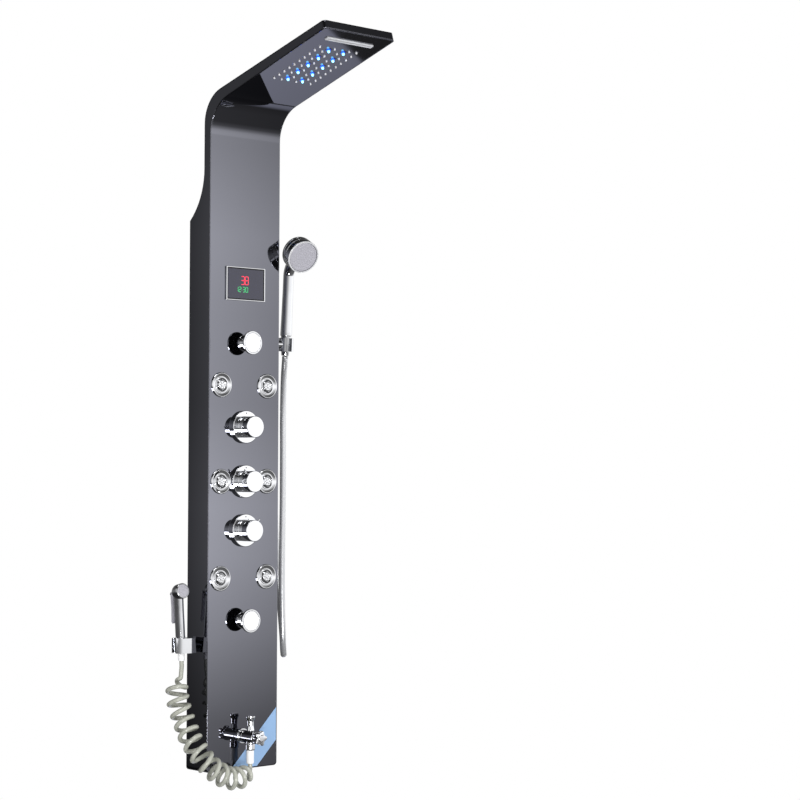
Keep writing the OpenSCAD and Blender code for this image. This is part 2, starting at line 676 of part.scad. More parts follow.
outlet_inside = 30;
outlet_stub_x = panel_w / 2 - outlet_inside;
outlet_reach = 24;
outlet_x = panel_w / 2 + outlet_reach;
outlet_drop = 22;
outlet_nut_l = 18;
outlet_plate_t = 4;
module side_outlet() color("silver") from_bottom() {
    translate([panel_w / 2, manifold_y, outlet_h]) rotate([0, 90, 0])
        cylinder(d = outlet_d + 2 * outlet_plate_t, h = outlet_plate_t);
    rod([outlet_stub_x, manifold_y, outlet_h], [outlet_x, manifold_y, outlet_h], outlet_d - 2 * hole_gap);
    translate([outlet_x, manifold_y, outlet_h]) sphere(d = outlet_d - 2 * hole_gap);
    rod([outlet_x, manifold_y, outlet_h], [outlet_x, manifold_y, outlet_h - outlet_drop],
        outlet_d - 2 * hole_gap);
}
module outlet_hose_nuts() from_bottom() {
    color("silver") translate([outlet_x, manifold_y, outlet_h - outlet_drop - outlet_nut_l])
        cylinder(d1 = hose_d + 2 * pipe_wall, d2 = outlet_d + 2 * pipe_wall, h = outlet_nut_l);
    color("whitesmoke") translate([0, branch_y, valve_nut_top - valve_nut_l])
        cylinder(d = valve_nut_d, h = valve_nut_l);
}

// Knobs

dot_d = 3;
module knob_flanges() color("silver") from_bottom() for (h = knob_heights) on_front(0, h)
    difference() {
        ring(flange_d, spindle_d + 4 * hole_gap, flange_t);
        translate([0, (flange_d + knob_d) / 4, flange_t - cut / 2]) cylinder(d = dot_d, h = cut);
    }
module knob(h, pin_turn) color("silver") from_bottom() on_front(0, h) {
    back = flange_t + seat_gap;
    difference() {
        union() {
            difference() {
                translate([0, 0, back]) cylinder(d = knob_d, h = knob_reach - back);
                translate([0, 0, back - cut])
                    cylinder(d = knob_d - 2 * knob_wall, h = knob_reach - back - knob_wall + cut);
            }
            translate([0, 0, back]) cylinder(d = 2 * spindle_d, h = knob_reach - back);
            rotate([0, 0, -pin_turn]) translate([0, knob_d / 2 - knob_wall / 2, pin_z])
                rotate([-90, 0, 0]) cylinder(d = pin_d, h = pin_l + knob_wall / 2);
        }
        translate([0, 0, back - cut]) cylinder(d = spindle_d, h = spindle_front - back + cut);
    }
}
pin_z = knob_reach - 4 * knob_wall;
spindle_front = knob_reach - 2 * knob_wall;
module spindle(h) color("goldenrod") from_bottom() on_front(0, h)
    translate([0, 0, -sheet_t - spindle_back])
        cylinder(d = spindle_d, h = sheet_t + spindle_back + spindle_front);
// Turn of each knob's pin from upright, clockwise
pin_turns = [-90, -38, 43];
module upper_knob() knob(upper_knob_h, pin_turns[0]);
module middle_knob() knob(middle_knob_h, pin_turns[1]);
module lower_knob() knob(lower_knob_h, pin_turns[2]);
module upper_spindle() spindle(upper_knob_h);
module middle_spindle() spindle(middle_knob_h);
module lower_spindle() spindle(lower_knob_h);

// Body jets

ball_z = -jet_ball_d / 5;
dish_share = 0.83;
hub_wall = 1;
hub_d = jet_ball_d + 2 * hub_wall;
hub_z = jet_t / 2;
jet_nut_t = 6;
nozzle_face_z = ball_z + jet_ball_d / 3;
nozzle_l = jet_ball_d * 0.6;
nozzle_bore = 6;
nozzle_hole_d = 2.2;
nozzle_hole_count = 6;
module jet_bezels() color("silver") from_bottom() at_jets() difference() {
    union() {
        rotate_extrude() polygon([[0, 0], [jet_d / 2, 0], [jet_d / 2, jet_t / 2],
            [jet_d / 2 - jet_t / 2, jet_t], [dish_share * jet_d / 2, jet_t],
            [hub_d / 2 + jet_t, jet_t / 4], [hub_d / 2, jet_t / 4], [hub_d / 2, hub_z], [0, hub_z]]);
        translate([0, 0, -jet_depth]) cylinder(d = jet_barrel_d, h = jet_depth);
    }
    translate([0, 0, ball_z]) sphere(d = jet_ball_d + 2 * run_gap);
    translate([0, 0, pipe_wall - jet_depth])
        cylinder(d = jet_ball_d + 2 * run_gap, h = jet_depth + ball_z - pipe_wall);
    translate([0, 0, -jet_depth - cut]) cylinder(d = port_d / 2, h = jet_depth);
}
module jet_nuts() color([0.2, 0.2, 0.2]) from_bottom() at_jets()
    translate([0, 0, -sheet_t - jet_nut_t])
        ring(jet_barrel_d + 2 * jet_nut_t, jet_barrel_d + 2 * hole_gap, jet_nut_t);
module jet_nozzle(x, h) color("gainsboro") from_bottom() on_front(x, h) difference() {
    intersection() {
        translate([0, 0, ball_z]) sphere(d = jet_ball_d);
        translate([0, 0, nozzle_face_z - nozzle_l]) box([jet_ball_d, jet_ball_d, nozzle_l]);
    }
    translate([0, 0, ball_z - jet_ball_d]) cylinder(d = nozzle_bore, h = 2 * jet_ball_d);
    for (k = [1:nozzle_hole_count]) rotate([0, 0, 360 * k / nozzle_hole_count])
        translate([jet_ball_d / 4, 0, nozzle_face_z - jet_t])
            cylinder(d = nozzle_hole_d, h = jet_t + cut);
}
module jet_nozzle_upper_left() jet_nozzle(-jet_x, upper_jet_h);
module jet_nozzle_upper_right() jet_nozzle(jet_x, upper_jet_h);
module jet_nozzle_middle_left() jet_nozzle(-jet_x, middle_jet_h);
module jet_nozzle_middle_right() jet_nozzle(jet_x, middle_jet_h);
module jet_nozzle_lower_left() jet_nozzle(-jet_x, lower_jet_h);
module jet_nozzle_lower_right() jet_nozzle(jet_x, lower_jet_h);

// Round body sprays

spray_disc_t = 5.5;
spray_ball_z = spray_reach - spray_disc_t - 1.3 * spray_ball_d / 2 - foot_t / 3;
collar_wall = 2;
neck_wall = 3;
neck_in_d = spray_ball_d + 2 * neck_wall;
collar_d = neck_in_d + 2 * collar_wall;
collar_top = spray_ball_z + 0.3 * spray_ball_d;
spray_stem_d = spray_ball_d / 2;
socket_d = spray_ball_d + 2 * run_gap;
neck_top = spray_ball_z - 0.35 * spray_ball_d;
module spray_feet() color("silver") from_bottom() for (h = spray_heights) on_front(0, h) difference() {
    union() {
        cylinder(d = foot_d, h = foot_t);
        cylinder(d = neck_in_d, h = neck_top);
        translate([0, 0, -tail_l]) cylinder(d = tail_d, h = tail_l + cut);
    }
    translate([0, 0, spray_ball_z]) sphere(d = socket_d + 2 * run_gap);
    translate([0, 0, -tail_l - cut]) cylinder(d = spray_stem_d, h = tail_l + foot_t + 2 * cut);
}
module spray_collar(h) color("silver") from_bottom() on_front(0, h) difference() {
    translate([0, 0, foot_t + seat_gap]) cylinder(d = collar_d, h = collar_top - foot_t - seat_gap);
    cylinder(d = neck_in_d + 2 * run_gap, h = neck_top + run_gap);
    translate([0, 0, spray_ball_z]) sphere(d = socket_d);
    cylinder(d = socket_d, h = spray_ball_z);
}
module spray_head(h) color("silver") from_bottom() on_front(0, h) difference() {
    union() {
        translate([0, 0, spray_ball_z]) sphere(d = spray_ball_d);
        translate([0, 0, spray_ball_z])
            cylinder(d = spray_stem_d, h = spray_reach - spray_ball_z - spray_disc_t / 2);
        translate([0, 0, spray_reach - 1.5 * spray_disc_t])
            cylinder(d1 = spray_ball_d, d2 = spray_d, h = spray_disc_t / 2);
        translate([0, 0, spray_reach - spray_disc_t]) cylinder(d = spray_d, h = spray_disc_t);
    }
    translate([0, 0, spray_reach - spray_disc_t / 4])
        cylinder(d = spray_d - spray_disc_t, h = spray_disc_t);
}
module upper_spray_collar() spray_collar(upper_spray_h);
module lower_spray_collar() spray_collar(lower_spray_h);
module upper_spray_head() spray_head(upper_spray_h);
module lower_spray_head() spray_head(lower_spray_h);

// Hand shower and its holder

// A child whose Z runs up the grip from its foot, with -Y ahead
module in_grip() translate([grip_x, -grip_y, grip_h]) rotate([0, 0, -grip_turn])
    rotate([grip_lean, 0, 0]) children();
module in_drum() in_grip() translate([0, -drum_reach, drum_rise]) rotate([90 + drum_tilt, 0, 0])
    children();
nut_l = 46;
slot_room = 1;
nut_top_d = 24;
nut_low_d = 17;
cup_top = -5;
cup_mid = cup_top - cup_l / 2;
function nut_d_at(z) = nut_top_d + (nut_low_d - nut_top_d) * -z / nut_l;
// A point of the grip's own frame, with height counted from the bottom edge
function grip_point(p) = let (
    tilted = [p.x, p.y * cos(grip_lean) - p.z * sin(grip_lean), p.y * sin(grip_lean) + p.z * cos(grip_lean)])
    [grip_x + tilted.x * cos(grip_turn) + tilted.y * sin(grip_turn),
    -grip_y - tilted.x * sin(grip_turn) + tilted.y * cos(grip_turn), grip_h + tilted.z];
cup_c = grip_point([0, 0, cup_mid]);
bracket_y = cup_c.y;
bracket_h = cup_c.z;
plate_t = 4;
ear_d = 18;
ear_pin_d = 10;
hose_slot = hose_d + 2 * slot_room;
drum_round = 6;
groove_t = 1.5;
face_inset = 3;
neck_base = [0, 0, grip_l];
neck_end = [0, -drum_reach + drum_t / 3, drum_rise - drum_t / 4];
bore_d = 14;
module hand_shower_body() color("silver") from_bottom() difference() {
    union() {
        in_grip() cylinder(d1 = grip_foot_d, d2 = grip_top_d, h = grip_l);
        in_grip() translate(neck_base) sphere(d = grip_top_d + 2 * seat_gap);
        in_grip() rod(neck_base, neck_end, grip_top_d);
        in_drum() rotate_extrude() polygon([[0, -drum_t / 2], [drum_d / 2 - drum_round, -drum_t / 2],
            [drum_d / 2 - drum_round / 4, drum_round / 2 - drum_t / 2],
            [drum_d / 2, drum_round - drum_t / 2], [drum_d / 2, 0], [drum_d / 2 - groove_t / 2, groove_t / 2],
            [drum_d / 2, groove_t], [drum_d / 2, drum_t / 2 - groove_t],
            [drum_d / 2 - groove_t, drum_t / 2], [0, drum_t / 2]]);
    }
    in_drum() translate([0, 0, 2 * shell_t - drum_t / 2])
        cylinder(d = drum_d - 2 * drum_round, h = drum_t);
    in_drum() translate([0, 0, drum_t / 2 - face_inset])
        cylinder(d = drum_d - 2 * face_inset, h = face_inset + cut);
    in_grip() translate([0, 0, -cut]) cylinder(d = bore_d, h = grip_l + cut);
    in_grip() rod(neck_base, neck_end, bore_d);
    in_grip() translate(neck_base) sphere(d = bore_d + 2 * seat_gap);
}
module hand_shower_face() color("gainsboro") from_bottom() in_drum()
    translate([0, 0, drum_t / 2 - face_inset])
        cylinder(d = drum_d - 2 * face_inset - 2 * hole_gap, h = face_inset - hole_gap);
module handset_hose_nut() color("silver") from_bottom() in_grip() translate([0, 0, -nut_l])
    cylinder(d1 = nut_low_d, d2 = nut_top_d, h = nut_l);
module holder_bracket() color("silver") from_bottom()
    translate([panel_w / 2, bracket_y, bracket_h]) rotate([0, 90, 0]) {
        cylinder(d = ear_d + 2 * plate_t, h = plate_t);
        cylinder(d = ear_pin_d, h = plate_t + ear_bore_l - seat_gap);
    }
ear_bore_l = 5;
module holder_cup() color("silver") from_bottom() difference() {
    union() {
        in_grip() translate([0, 0, cup_top - cup_l]) cylinder(d = cup_d, h = cup_l);
        translate([panel_w / 2 + plate_t + seat_gap, bracket_y, bracket_h]) rotate([0, 90, 0])
            cylinder(d = ear_d, h = cup_c.x - panel_w / 2 - plate_t - nut_top_d / 2);
    }
    in_grip() translate([0, 0, cup_top - cup_l - cut])
        cylinder(d1 = nut_d_at(cup_top - cup_l - cut) + 2 * seat_gap,
            d2 = nut_d_at(cup_top + cut) + 2 * seat_gap, h = cup_l + 2 * cut);
    in_grip() translate([-hose_slot / 2, -cup_d, cup_top - cup_l - cut])
        cube([hose_slot, cup_d, cup_l + 2 * cut]);
    translate([panel_w / 2, bracket_y, bracket_h]) rotate([0, 90, 0])
        cylinder(d = ear_pin_d + 2 * run_gap, h = plate_t + ear_bore_l);
}

// Hoses: a round tube swept along points

function ring_dir(c, i) = let (n = len(c) - 1)
    i <= 1 ? unit(c[1] - c[0]) : i >= n - 1 ? unit(c[n] - c[n - 1]) : unit(c[i + 1] - c[i - 1]);
module swept_tube(c, out, d, sides) {
    n = len(c) - 1;
    points = [for (i = [0:n]) let (t = ring_dir(c, i), a = unit(out[i] - t * (out[i] * t)),
        b = cross(t, a)) for (k = [0:sides - 1])
            c[i] + d / 2 * (cos(360 * k / sides) * a + sin(360 * k / sides) * b)];
    walls = [for (i = [0:n - 1], k = [0:sides - 1]) let (a = i * sides + k,
        b = i * sides + (k + 1) % sides) each [[a, a + sides, b + sides], [a, b + sides, b]]];
    foot = [for (k = [1:sides - 2]) [0, k, k + 1]];
    top = [for (k = [1:sides - 2]) [n * sides, n * sides + k + 1, n * sides + k]];
    polyhedron(points = points, faces = concat(walls, foot, top), convexity = 10);
}
function spline(p, u) = let (n = len(p) - 1, i = min(floor(u), n - 1), t = u - i, a = p[max(i - 1, 0)],
    b = p[i], c = p[i + 1], d = p[min(i + 2, n)])
    (2 * b + (c - a) * t + (2 * a - 5 * b + 4 * c - d) * t * t + (3 * b - a - 3 * c + d) * t * t * t) / 2;
function run_length(c) = len(c) < 2 ? 0 : let (d = [for (i = [1:len(c) - 1]) norm(c[i] - c[i - 1])])
    d * [for (x = d) 1];

// The hand shower's hose, from the grip's nut down, round and up to the side outlet
// Its way down counts from the grip's foot, and its way up from the outlet
hose_down = [[139, -46, -103], [130, -55, -184], [129, -57, -284], [129, -57, -384],
    [128, -57, -484], [129, -56, -584], [132, -55, -664], [138, -50, -712], [149, -39, -738],
    [158, -26, -728], [162, -18, -694]];
hose_up = [[155, -16, -440], [145, -18, -350], [135, -22, -250], [128, -26, -140]];
hand_hose_route = concat([grip_point([0, 0, -nut_l - hose_play]), grip_point([0, 0, -nut_l - hose_d])],
    [for (p = hose_down) [p.x, p.y, grip_h + p.z]], [for (p = hose_up) [p.x, p.y, outlet_h + p.z]],
    [[outlet_x, manifold_y, outlet_h - outlet_drop - outlet_nut_l - hose_d],
    [outlet_x, manifold_y, outlet_h - outlet_drop - outlet_nut_l]]);
rings_per_span = 3;
hand_hose_end = len(hand_hose_route) - 1;
hand_hose_line = concat([hand_hose_route[0]],
    [for (i = [rings_per_span:(hand_hose_end - 1) * rings_per_span])
        spline(hand_hose_route, i / rings_per_span)], [hand_hose_route[hand_hose_end]]);
echo(hand_hose_length_mm = run_length(hand_hose_line));
module hand_shower_hose() color("silver") from_bottom()
    swept_tube(hand_hose_line, [for (p = hand_hose_line) [0.77, -0.64, 0]], hose_d, 10);

// The curly hose runs round the line below, from the bidet sprayer's nut to the lower valve's nut
function bidet_point(z) = [-bidet_x - z * sin(bidet_lean), -bidet_y, bidet_h + z * cos(bidet_lean)];
bidet_nut_low = -holder_t - bidet_nut_gap - bidet_nut_l;
// Its first part counts from the holder's top, and the rest from the foot of the valve's nut
curl_end = 12;
curl_foot = valve_nut_top - valve_nut_l;
curl_down = [[-137, -27, -86], [-148, -30, -108], [-150, -34, -134], [-147, -39, -156],
    [-144, -47, -177], [-143, -58, -196], [-143, -71, -216], [-140, -85, -234], [-135, -98, -252],
    [-125, -106, -268], [-108, -111, -285], [-88, -112, -298]];
curl_back = [[-68, -112, -24.5], [-48, -111, -27.5], [-27, -109, -26.5], [-9, -106, -27.5],
    [-1, -104, -20.5]];
curl_route = concat([bidet_point(bidet_nut_low - seat_gap), bidet_point(bidet_nut_low - curl_end)],
    [for (p = curl_down) [p.x, p.y, bidet_h + p.z]], [for (p = curl_back) [p.x, p.y, curl_foot + p.z]],
    [[0, branch_y, curl_foot - curl_end], [0, branch_y, curl_foot]]);
curl_spans = len(curl_route) - 1;
fine = 8;
curl_fine = [for (i = [0:curl_spans * fine]) spline(curl_route, i / fine)];
curl_table = [for (i = 0, s = 0; i <= curl_spans * fine;
    i = i + 1, s = s + (i <= curl_spans * fine ? norm(curl_fine[i] - curl_fine[i - 1]) : 0))
        [s, i / fine]];
function reversed_pair(p) = [p[1], p[0]];
length_at = [for (p = curl_table) reversed_pair(p)];
curl_from = lookup(2, length_at);
curl_to = lookup(curl_spans - 2, length_at);
curl_run = curl_to - curl_from;
curl_pitch = curl_run / (curls + 0.5);
curl_r = (curl_d - curl_tube_d) / 2;
curl_phase = 120;
curl_side = [0, -1, 0];
function eased(x) = let (t = min(max(x, 0), 1)) t * t * (3 - 2 * t);
function curl_swell(s) = curl_r * eased((s - curl_from) / curl_pitch)
    * eased((curl_to - s) / curl_pitch);
function line_at(s) = spline(curl_route, lookup(s, curl_table));
function line_dir(s) = unit(line_at(s + 1) - line_at(s - 1));
function curl_out(s) = let (t = line_dir(s), a = unit(cross(curl_side, t)), b = cross(t, a),
    turn = curl_phase + 360 * (s - curl_from) / curl_pitch) cos(turn) * a + sin(turn) * b;
curl_rings = round(curl_run / curl_pitch * 8);
curl_s = [for (i = [1:curl_rings]) curl_from + i * curl_run / (curl_rings + 1)];
curl_line = concat([curl_route[0], curl_route[1]],
    [for (s = concat([curl_from], curl_s, [curl_to])) line_at(s) + curl_swell(s) * curl_out(s)],
    [curl_route[curl_spans - 1], curl_route[curl_spans]]);
curl_outs = concat([curl_out(curl_from), curl_out(curl_from)],
    [for (s = concat([curl_from], curl_s, [curl_to])) curl_out(s)],
    [curl_out(curl_to), curl_out(curl_to)]);
echo(bidet_hose_length_mm = run_length(curl_line));
echo(least_gap_of_curly_hose_mm = min([for (i = [0:len(curl_line) - 8], j = [i + 6:len(curl_line) - 1])
    norm(curl_line[i] - curl_line[j])]) - curl_tube_d);
module bidet_hose() color([0.72, 0.73, 0.68]) from_bottom()
    swept_tube(curl_line, curl_outs, curl_tube_d, 6);

// Bidet sprayer and its holder

// A child whose Z runs up the bidet grip from the holder's top, with -Y ahead
module in_bidet() translate([-bidet_x, -bidet_y, bidet_h]) rotate([0, -bidet_lean, 0]) children();
bidet_nut_d = 14.5;
tail_top_d = 19;
tail_low_d = 16.8;
holder_slot = curl_tube_d + 2 * slot_room;
holder_c = [-bidet_x + holder_t / 2 * sin(bidet_lean), -bidet_y];
holder_foot_l = 9;
holder_end_x = -panel_w / 2 - holder_foot_l;
holder_boss_d = 18;
holder_boss_y = -20;
module bidet_holder() color("silver") from_bottom() difference() {
    union() {
        translate([holder_c.x, holder_c.y, bidet_h - holder_t]) cylinder(d = holder_d, h = holder_t);
        intersection() {
            translate([holder_c.x, holder_c.y - holder_d / 2, bidet_h - holder_t])
                cube([holder_end_x - holder_c.x, holder_d, holder_t]);
            translate([holder_end_x, 0, bidet_h - holder_t]) rotate([0, -6, 0])
                translate([-bidet_x, -panel_d, -holder_t]) cube([bidet_x, 2 * panel_d, 3 * holder_t]);
        }
        rod([-panel_w / 2, holder_boss_y, bidet_h - holder_t / 2],
            [holder_end_x - holder_boss_d / 2, holder_boss_y, bidet_h - holder_t / 2], holder_boss_d);
    }
    in_bidet() translate([0, 0, -holder_t - cut])
        cylinder(d1 = tail_low_d + 2 * seat_gap, d2 = tail_top_d + 2 * seat_gap, h = holder_t + 2 * cut);
    in_bidet() translate([-holder_d, -holder_slot / 2, -holder_t - cut])
        cube([holder_d, holder_slot, holder_t + 3 * cut]);
}
bidet_seat = seat_gap + bidet_d / 2 * sin(bidet_lean);
bidet_reach = 19;
bidet_back = 11;
bidet_head_tilt = 12;
bidet_face_t = 3;
lug_t = 2.5;
trigger_w = 13;
trigger_pin_d = 3;
trigger_pin_y = 18;
trigger_pin_z = bidet_l - 2;
module in_bidet_head() in_bidet() translate([0, 0, bidet_l + bidet_face_t])
    rotate([90 - bidet_head_tilt, 0, 0]) children();
module bidet_body() color("silver") from_bottom() difference() {
    union() {
        in_bidet() translate([0, 0, bidet_seat]) cylinder(d = bidet_d, h = bidet_l);
        in_bidet() translate([0, 0, -holder_t - bidet_nut_gap])
            cylinder(d1 = tail_low_d, d2 = tail_top_d, h = holder_t + bidet_nut_gap + bidet_seat);
        in_bidet_head() rotate_extrude() polygon([[0, -bidet_back], [bidet_head_d / 4, -bidet_back],
            [bidet_head_d / 2 - bidet_face_t, -bidet_back / 2], [bidet_head_d / 2, 0],
            [bidet_head_d / 2, bidet_reach - bidet_face_t], [bidet_head_d / 2 - bidet_face_t / 2, bidet_reach],
            [0, bidet_reach]]);
        for (side = [-1, 1]) in_bidet()
            translate([side * (trigger_w / 2 + seat_gap + lug_t / 2), 0, trigger_pin_z]) {
                translate([-lug_t / 2, 0, -trigger_pin_d])
                    cube([lug_t, trigger_pin_y, 2 * trigger_pin_d]);
                translate([-lug_t / 2, trigger_pin_y, 0]) rotate([0, 90, 0])
                    cylinder(r = trigger_pin_d, h = lug_t);
            }
    }
    in_bidet_head() translate([0, 0, bidet_reach - bidet_face_t])
        cylinder(d = bidet_head_d - 2 * bidet_face_t, h = 2 * bidet_face_t);
    in_bidet() translate([0, 0, -holder_t - cut]) cylinder(d = bidet_d / 2, h = holder_t + bidet_l);
    in_bidet() translate([-bidet_d, trigger_pin_y, trigger_pin_z]) rotate([0, 90, 0])
        cylinder(d = trigger_pin_d, h = 2 * bidet_d);
}
module bidet_face() color("whitesmoke") from_bottom() in_bidet_head()
    translate([0, 0, bidet_reach - bidet_face_t])
        cylinder(d = bidet_head_d - 2 * bidet_face_t - 2 * hole_gap, h = bidet_face_t);
module bidet_trigger_pin() color("gray") from_bottom() in_bidet() {
    pin_w = trigger_w + 2 * (seat_gap + lug_t);
    translate([-pin_w / 2, trigger_pin_y, trigger_pin_z]) rotate([0, 90, 0])
        cylinder(d = trigger_pin_d, h = pin_w);
}
// Side outline of the trigger, in shares of its length down the grip and of its depth
trigger_l = 66;
trigger_t = 7;
trigger_share = [[0.06, -0.8], [-0.35, -0.2], [-0.35, 0.45], [0.06, 0.5], [0.5, 0.35], [0.94, 0.6],
    [1, 0.2], [0.9, -0.2], [0.45, -0.35], [0.2, -0.4]];
module bidet_trigger() color([0.6, 0.6, 0.62]) from_bottom() in_bidet()
    translate([0, trigger_pin_y, trigger_pin_z]) difference() {
        translate([-trigger_w / 2, 0, 0]) rotate([90, 0, 90]) linear_extrude(trigger_w)
            polygon([for (p = trigger_share) [p.y * trigger_t, -max(p.x, -0.06) * trigger_l]]);
        translate([-bidet_d, 0, 0]) rotate([0, 90, 0])
            cylinder(d = trigger_pin_d + 2 * run_gap, h = 2 * bidet_d);
    }
module bidet_hose_nut() color("whitesmoke") from_bottom() in_bidet() translate([0, 0, bidet_nut_low])
    cylinder(d = bidet_nut_d, h = bidet_nut_l);

// Lower valve

valve_plate_t = 3;
valve_plate_d = valve_d + 2 * valve_plate_t;
valve_ahead = 22;
valve_front = valve_branch + valve_ahead;
handle_gap = 4;
handle_back = valve_front + handle_gap;
handle_t = 15;
outlet_collar_d = 21.5;
valve_nut_d = 17;
valve_stem_d = 10;
pull_rod_d = 6;
pull_rod_l = 12;
pull_top_d = 21;
pull_mid_d = 15.5;
lobes = 5;
module lower_valve_body() color("silver") from_bottom() on_front(0, valve_h) difference() {
    union() {
        cylinder(d = valve_plate_d, h = valve_plate_t);
        cylinder(d = valve_d, h = valve_front);
        translate([0, 0, -tail_l]) cylinder(d = tail_d, h = tail_l + cut);
        cylinder(d = valve_stem_d, h = handle_back + handle_t / 2);
        translate([0, 0, valve_branch]) rotate([90, 0, 0])
            cylinder(d = outlet_collar_d, h = valve_d / 2 + outlet_collar_l);
    }
    translate([0, valve_d / 2 - pull_rod_l - seat_gap, valve_branch]) rotate([-90, 0, 0])
        cylinder(d = pull_rod_d + 2 * run_gap, h = valve_d);
}
module lower_valve_handle() color("silver") from_bottom() on_front(0, valve_h)
    translate([0, 0, handle_back]) difference() {
        union() {
            cylinder(d = lobe_d * 0.6, h = handle_t);
            for (k = [1:lobes]) rotate([0, 0, 360 * k / lobes]) translate([lobe_d * 0.35, 0, 0])
                cylinder(d = lobe_d * 0.3, h = handle_t * 0.8);
        }
        translate([0, 0, -cut]) cylinder(d = valve_stem_d + 2 * run_gap, h = handle_t / 2 + cut + seat_gap);
    }
module pull_knob() color("silver") from_bottom() on_front(0, valve_h)
    translate([0, valve_d / 2, valve_branch]) rotate([-90, 0, 0]) {
        rotate_extrude() polygon([[0, seat_gap], [pull_mid_d / 2 + 2 * seat_gap, seat_gap],
            [pull_mid_d / 2, pull_l * 0.25], [pull_mid_d / 2, pull_l * 0.6],
            [pull_top_d / 2, pull_l * 0.85], [pull_top_d / 2, pull_l], [0, pull_l]]);
        translate([0, 0, -pull_rod_l]) cylinder(d = pull_rod_d, h = pull_rod_l + seat_gap + cut);
    }

front_panel();
head_cover();
upper_wall_bracket();
lower_wall_bracket();
hang_bars();
nozzle_mat();
rain_chamber();
waterfall_spout();
waterfall_chamber();
led_lenses();
led_strips();
display_bezel();
display_glass();
display_module();
valve_manifold();
valve_cartridges();
check_valves();
union_nuts();
riser_pipes();
turbine_generator();
jet_supply_pipes();
side_outlet();
knob_flanges();
upper_knob();
middle_knob();
lower_knob();
upper_spindle();
middle_spindle();
lower_spindle();
jet_bezels();
jet_nuts();
jet_nozzle_upper_left();
jet_nozzle_upper_right();
jet_nozzle_middle_left();
jet_nozzle_middle_right();
jet_nozzle_lower_left();
jet_nozzle_lower_right();
spray_feet();
upper_spray_collar();
lower_spray_collar();
upper_spray_head();
lower_spray_head();
holder_bracket();
holder_cup();
hand_shower_body();
hand_shower_face();
handset_hose_nut();
hand_shower_hose();
outlet_hose_nuts();
bidet_holder();
bidet_body();
bidet_face();
bidet_trigger();
bidet_trigger_pin();
bidet_hose_nut();
bidet_hose();
lower_valve_body();
lower_valve_handle();
pull_knob();
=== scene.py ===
from math import cos, pi, radians, sin, tau

import bmesh
import bpy
from mathutils import Matrix, Vector


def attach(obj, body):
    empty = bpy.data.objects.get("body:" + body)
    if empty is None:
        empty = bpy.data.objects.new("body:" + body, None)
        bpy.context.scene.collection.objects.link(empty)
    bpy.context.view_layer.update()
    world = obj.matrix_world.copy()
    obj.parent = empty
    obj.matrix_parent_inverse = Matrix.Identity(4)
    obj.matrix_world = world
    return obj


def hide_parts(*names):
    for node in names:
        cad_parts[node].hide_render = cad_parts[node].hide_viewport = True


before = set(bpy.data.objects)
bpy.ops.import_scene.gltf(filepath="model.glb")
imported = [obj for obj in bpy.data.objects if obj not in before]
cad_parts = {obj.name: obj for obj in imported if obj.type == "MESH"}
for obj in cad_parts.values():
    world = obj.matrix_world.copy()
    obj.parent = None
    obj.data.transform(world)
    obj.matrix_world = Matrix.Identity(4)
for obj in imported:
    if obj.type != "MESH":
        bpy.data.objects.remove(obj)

scene = bpy.context.scene
scene.view_settings.view_transform = "Standard"
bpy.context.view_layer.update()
MM = 0.001

# Camera. It stands in front on the left, about level with the column's middle knob, and is turned
# a little upwards, so that the underside of the rain head shows.
camera_place = Vector((-2923.0, -3757.1, -456.6)) * MM
yaw, pitch, roll = radians(42.742), radians(1.696), radians(0.225)
ahead = Vector((sin(yaw) * cos(pitch), cos(yaw) * cos(pitch), sin(pitch)))
level_right = Vector((cos(yaw), -sin(yaw), 0))
level_up = level_right.cross(ahead)
right = level_right * cos(roll) + level_up * sin(roll)
up = level_up * cos(roll) - level_right * sin(roll)
camera = bpy.data.objects.new("camera", bpy.data.cameras.new("camera"))
camera.data.sensor_width = 36
camera.data.lens = 93.27
camera.data.clip_end = 60
camera.matrix_world = (Matrix.Translation(camera_place)
                       @ Matrix((right, up, -ahead)).transposed().to_4x4())
scene.collection.objects.link(camera)
scene.camera = camera


# Hose of the hand shower: a 14 mm tube of clear PVC over silver foil, smooth outside. It
# hangs from the grip's nut in one long loop and comes up to the outlet on the right flange.
# Heights are millimetres above the foot of the sheet, which hangs HANG below the origin.
HANG = 1150


def linear(hex_code):
    channels = [int(hex_code[k:k + 2], 16) / 255 for k in (1, 3, 5)]
    return tuple(c / 12.92 if c <= 0.04045 else ((c + 0.055) / 1.055) ** 2.4
                 for c in channels) + (1,)


def add(tree, kind, settings=None, links=None, stops=()):
    node = tree.nodes.new("ShaderNode" + kind)
    for name, value in (settings or {}).items():
        if isinstance(name, int) or name in node.inputs:
            node.inputs[name].default_value = value
        else:
            setattr(node, name, value)
    for name, socket in (links or {}).items():
        tree.links.new(socket, node.inputs[name])
    for i, (position, colour) in enumerate(stops):
        marks = node.color_ramp.elements
        mark = marks[0] if i == 0 else marks[-1] if i == len(stops) - 1 else marks.new(position)
        mark.position, mark.color = position, colour
    return node


def material(name, settings):
    made = bpy.data.materials.new(name)
    made.use_nodes = True
    surface = made.node_tree.nodes["Principled BSDF"]
    for socket, value in settings.items():
        surface.inputs[socket].default_value = value
    return made, made.node_tree, surface


# grain is the size in millimetres of the soft patches in which the gloss and the skin vary.
def textured(name, settings, grain, rough, bump=0.0):
    made, tree, surface = material(name, settings)
    place_of = add(tree, "TexCoord")
    patches = add(tree, "TexNoise", {"Scale": 1 / (grain * MM), "Detail": 3},
                  {"Vector": place_of.outputs["Object"]})
    gloss = add(tree, "MapRange", {"To Min": rough[0], "To Max": rough[1]},
                {"Value": patches.outputs["Fac"]})
    tree.links.new(gloss.outputs["Result"], surface.inputs["Roughness"])
    skin = add(tree, "Bump", {"Strength": bump, "Distance": 0.4 * MM},
               {"Height": patches.outputs["Fac"]})
    tree.links.new(skin.outputs["Normal"], surface.inputs["Normal"])
    return made


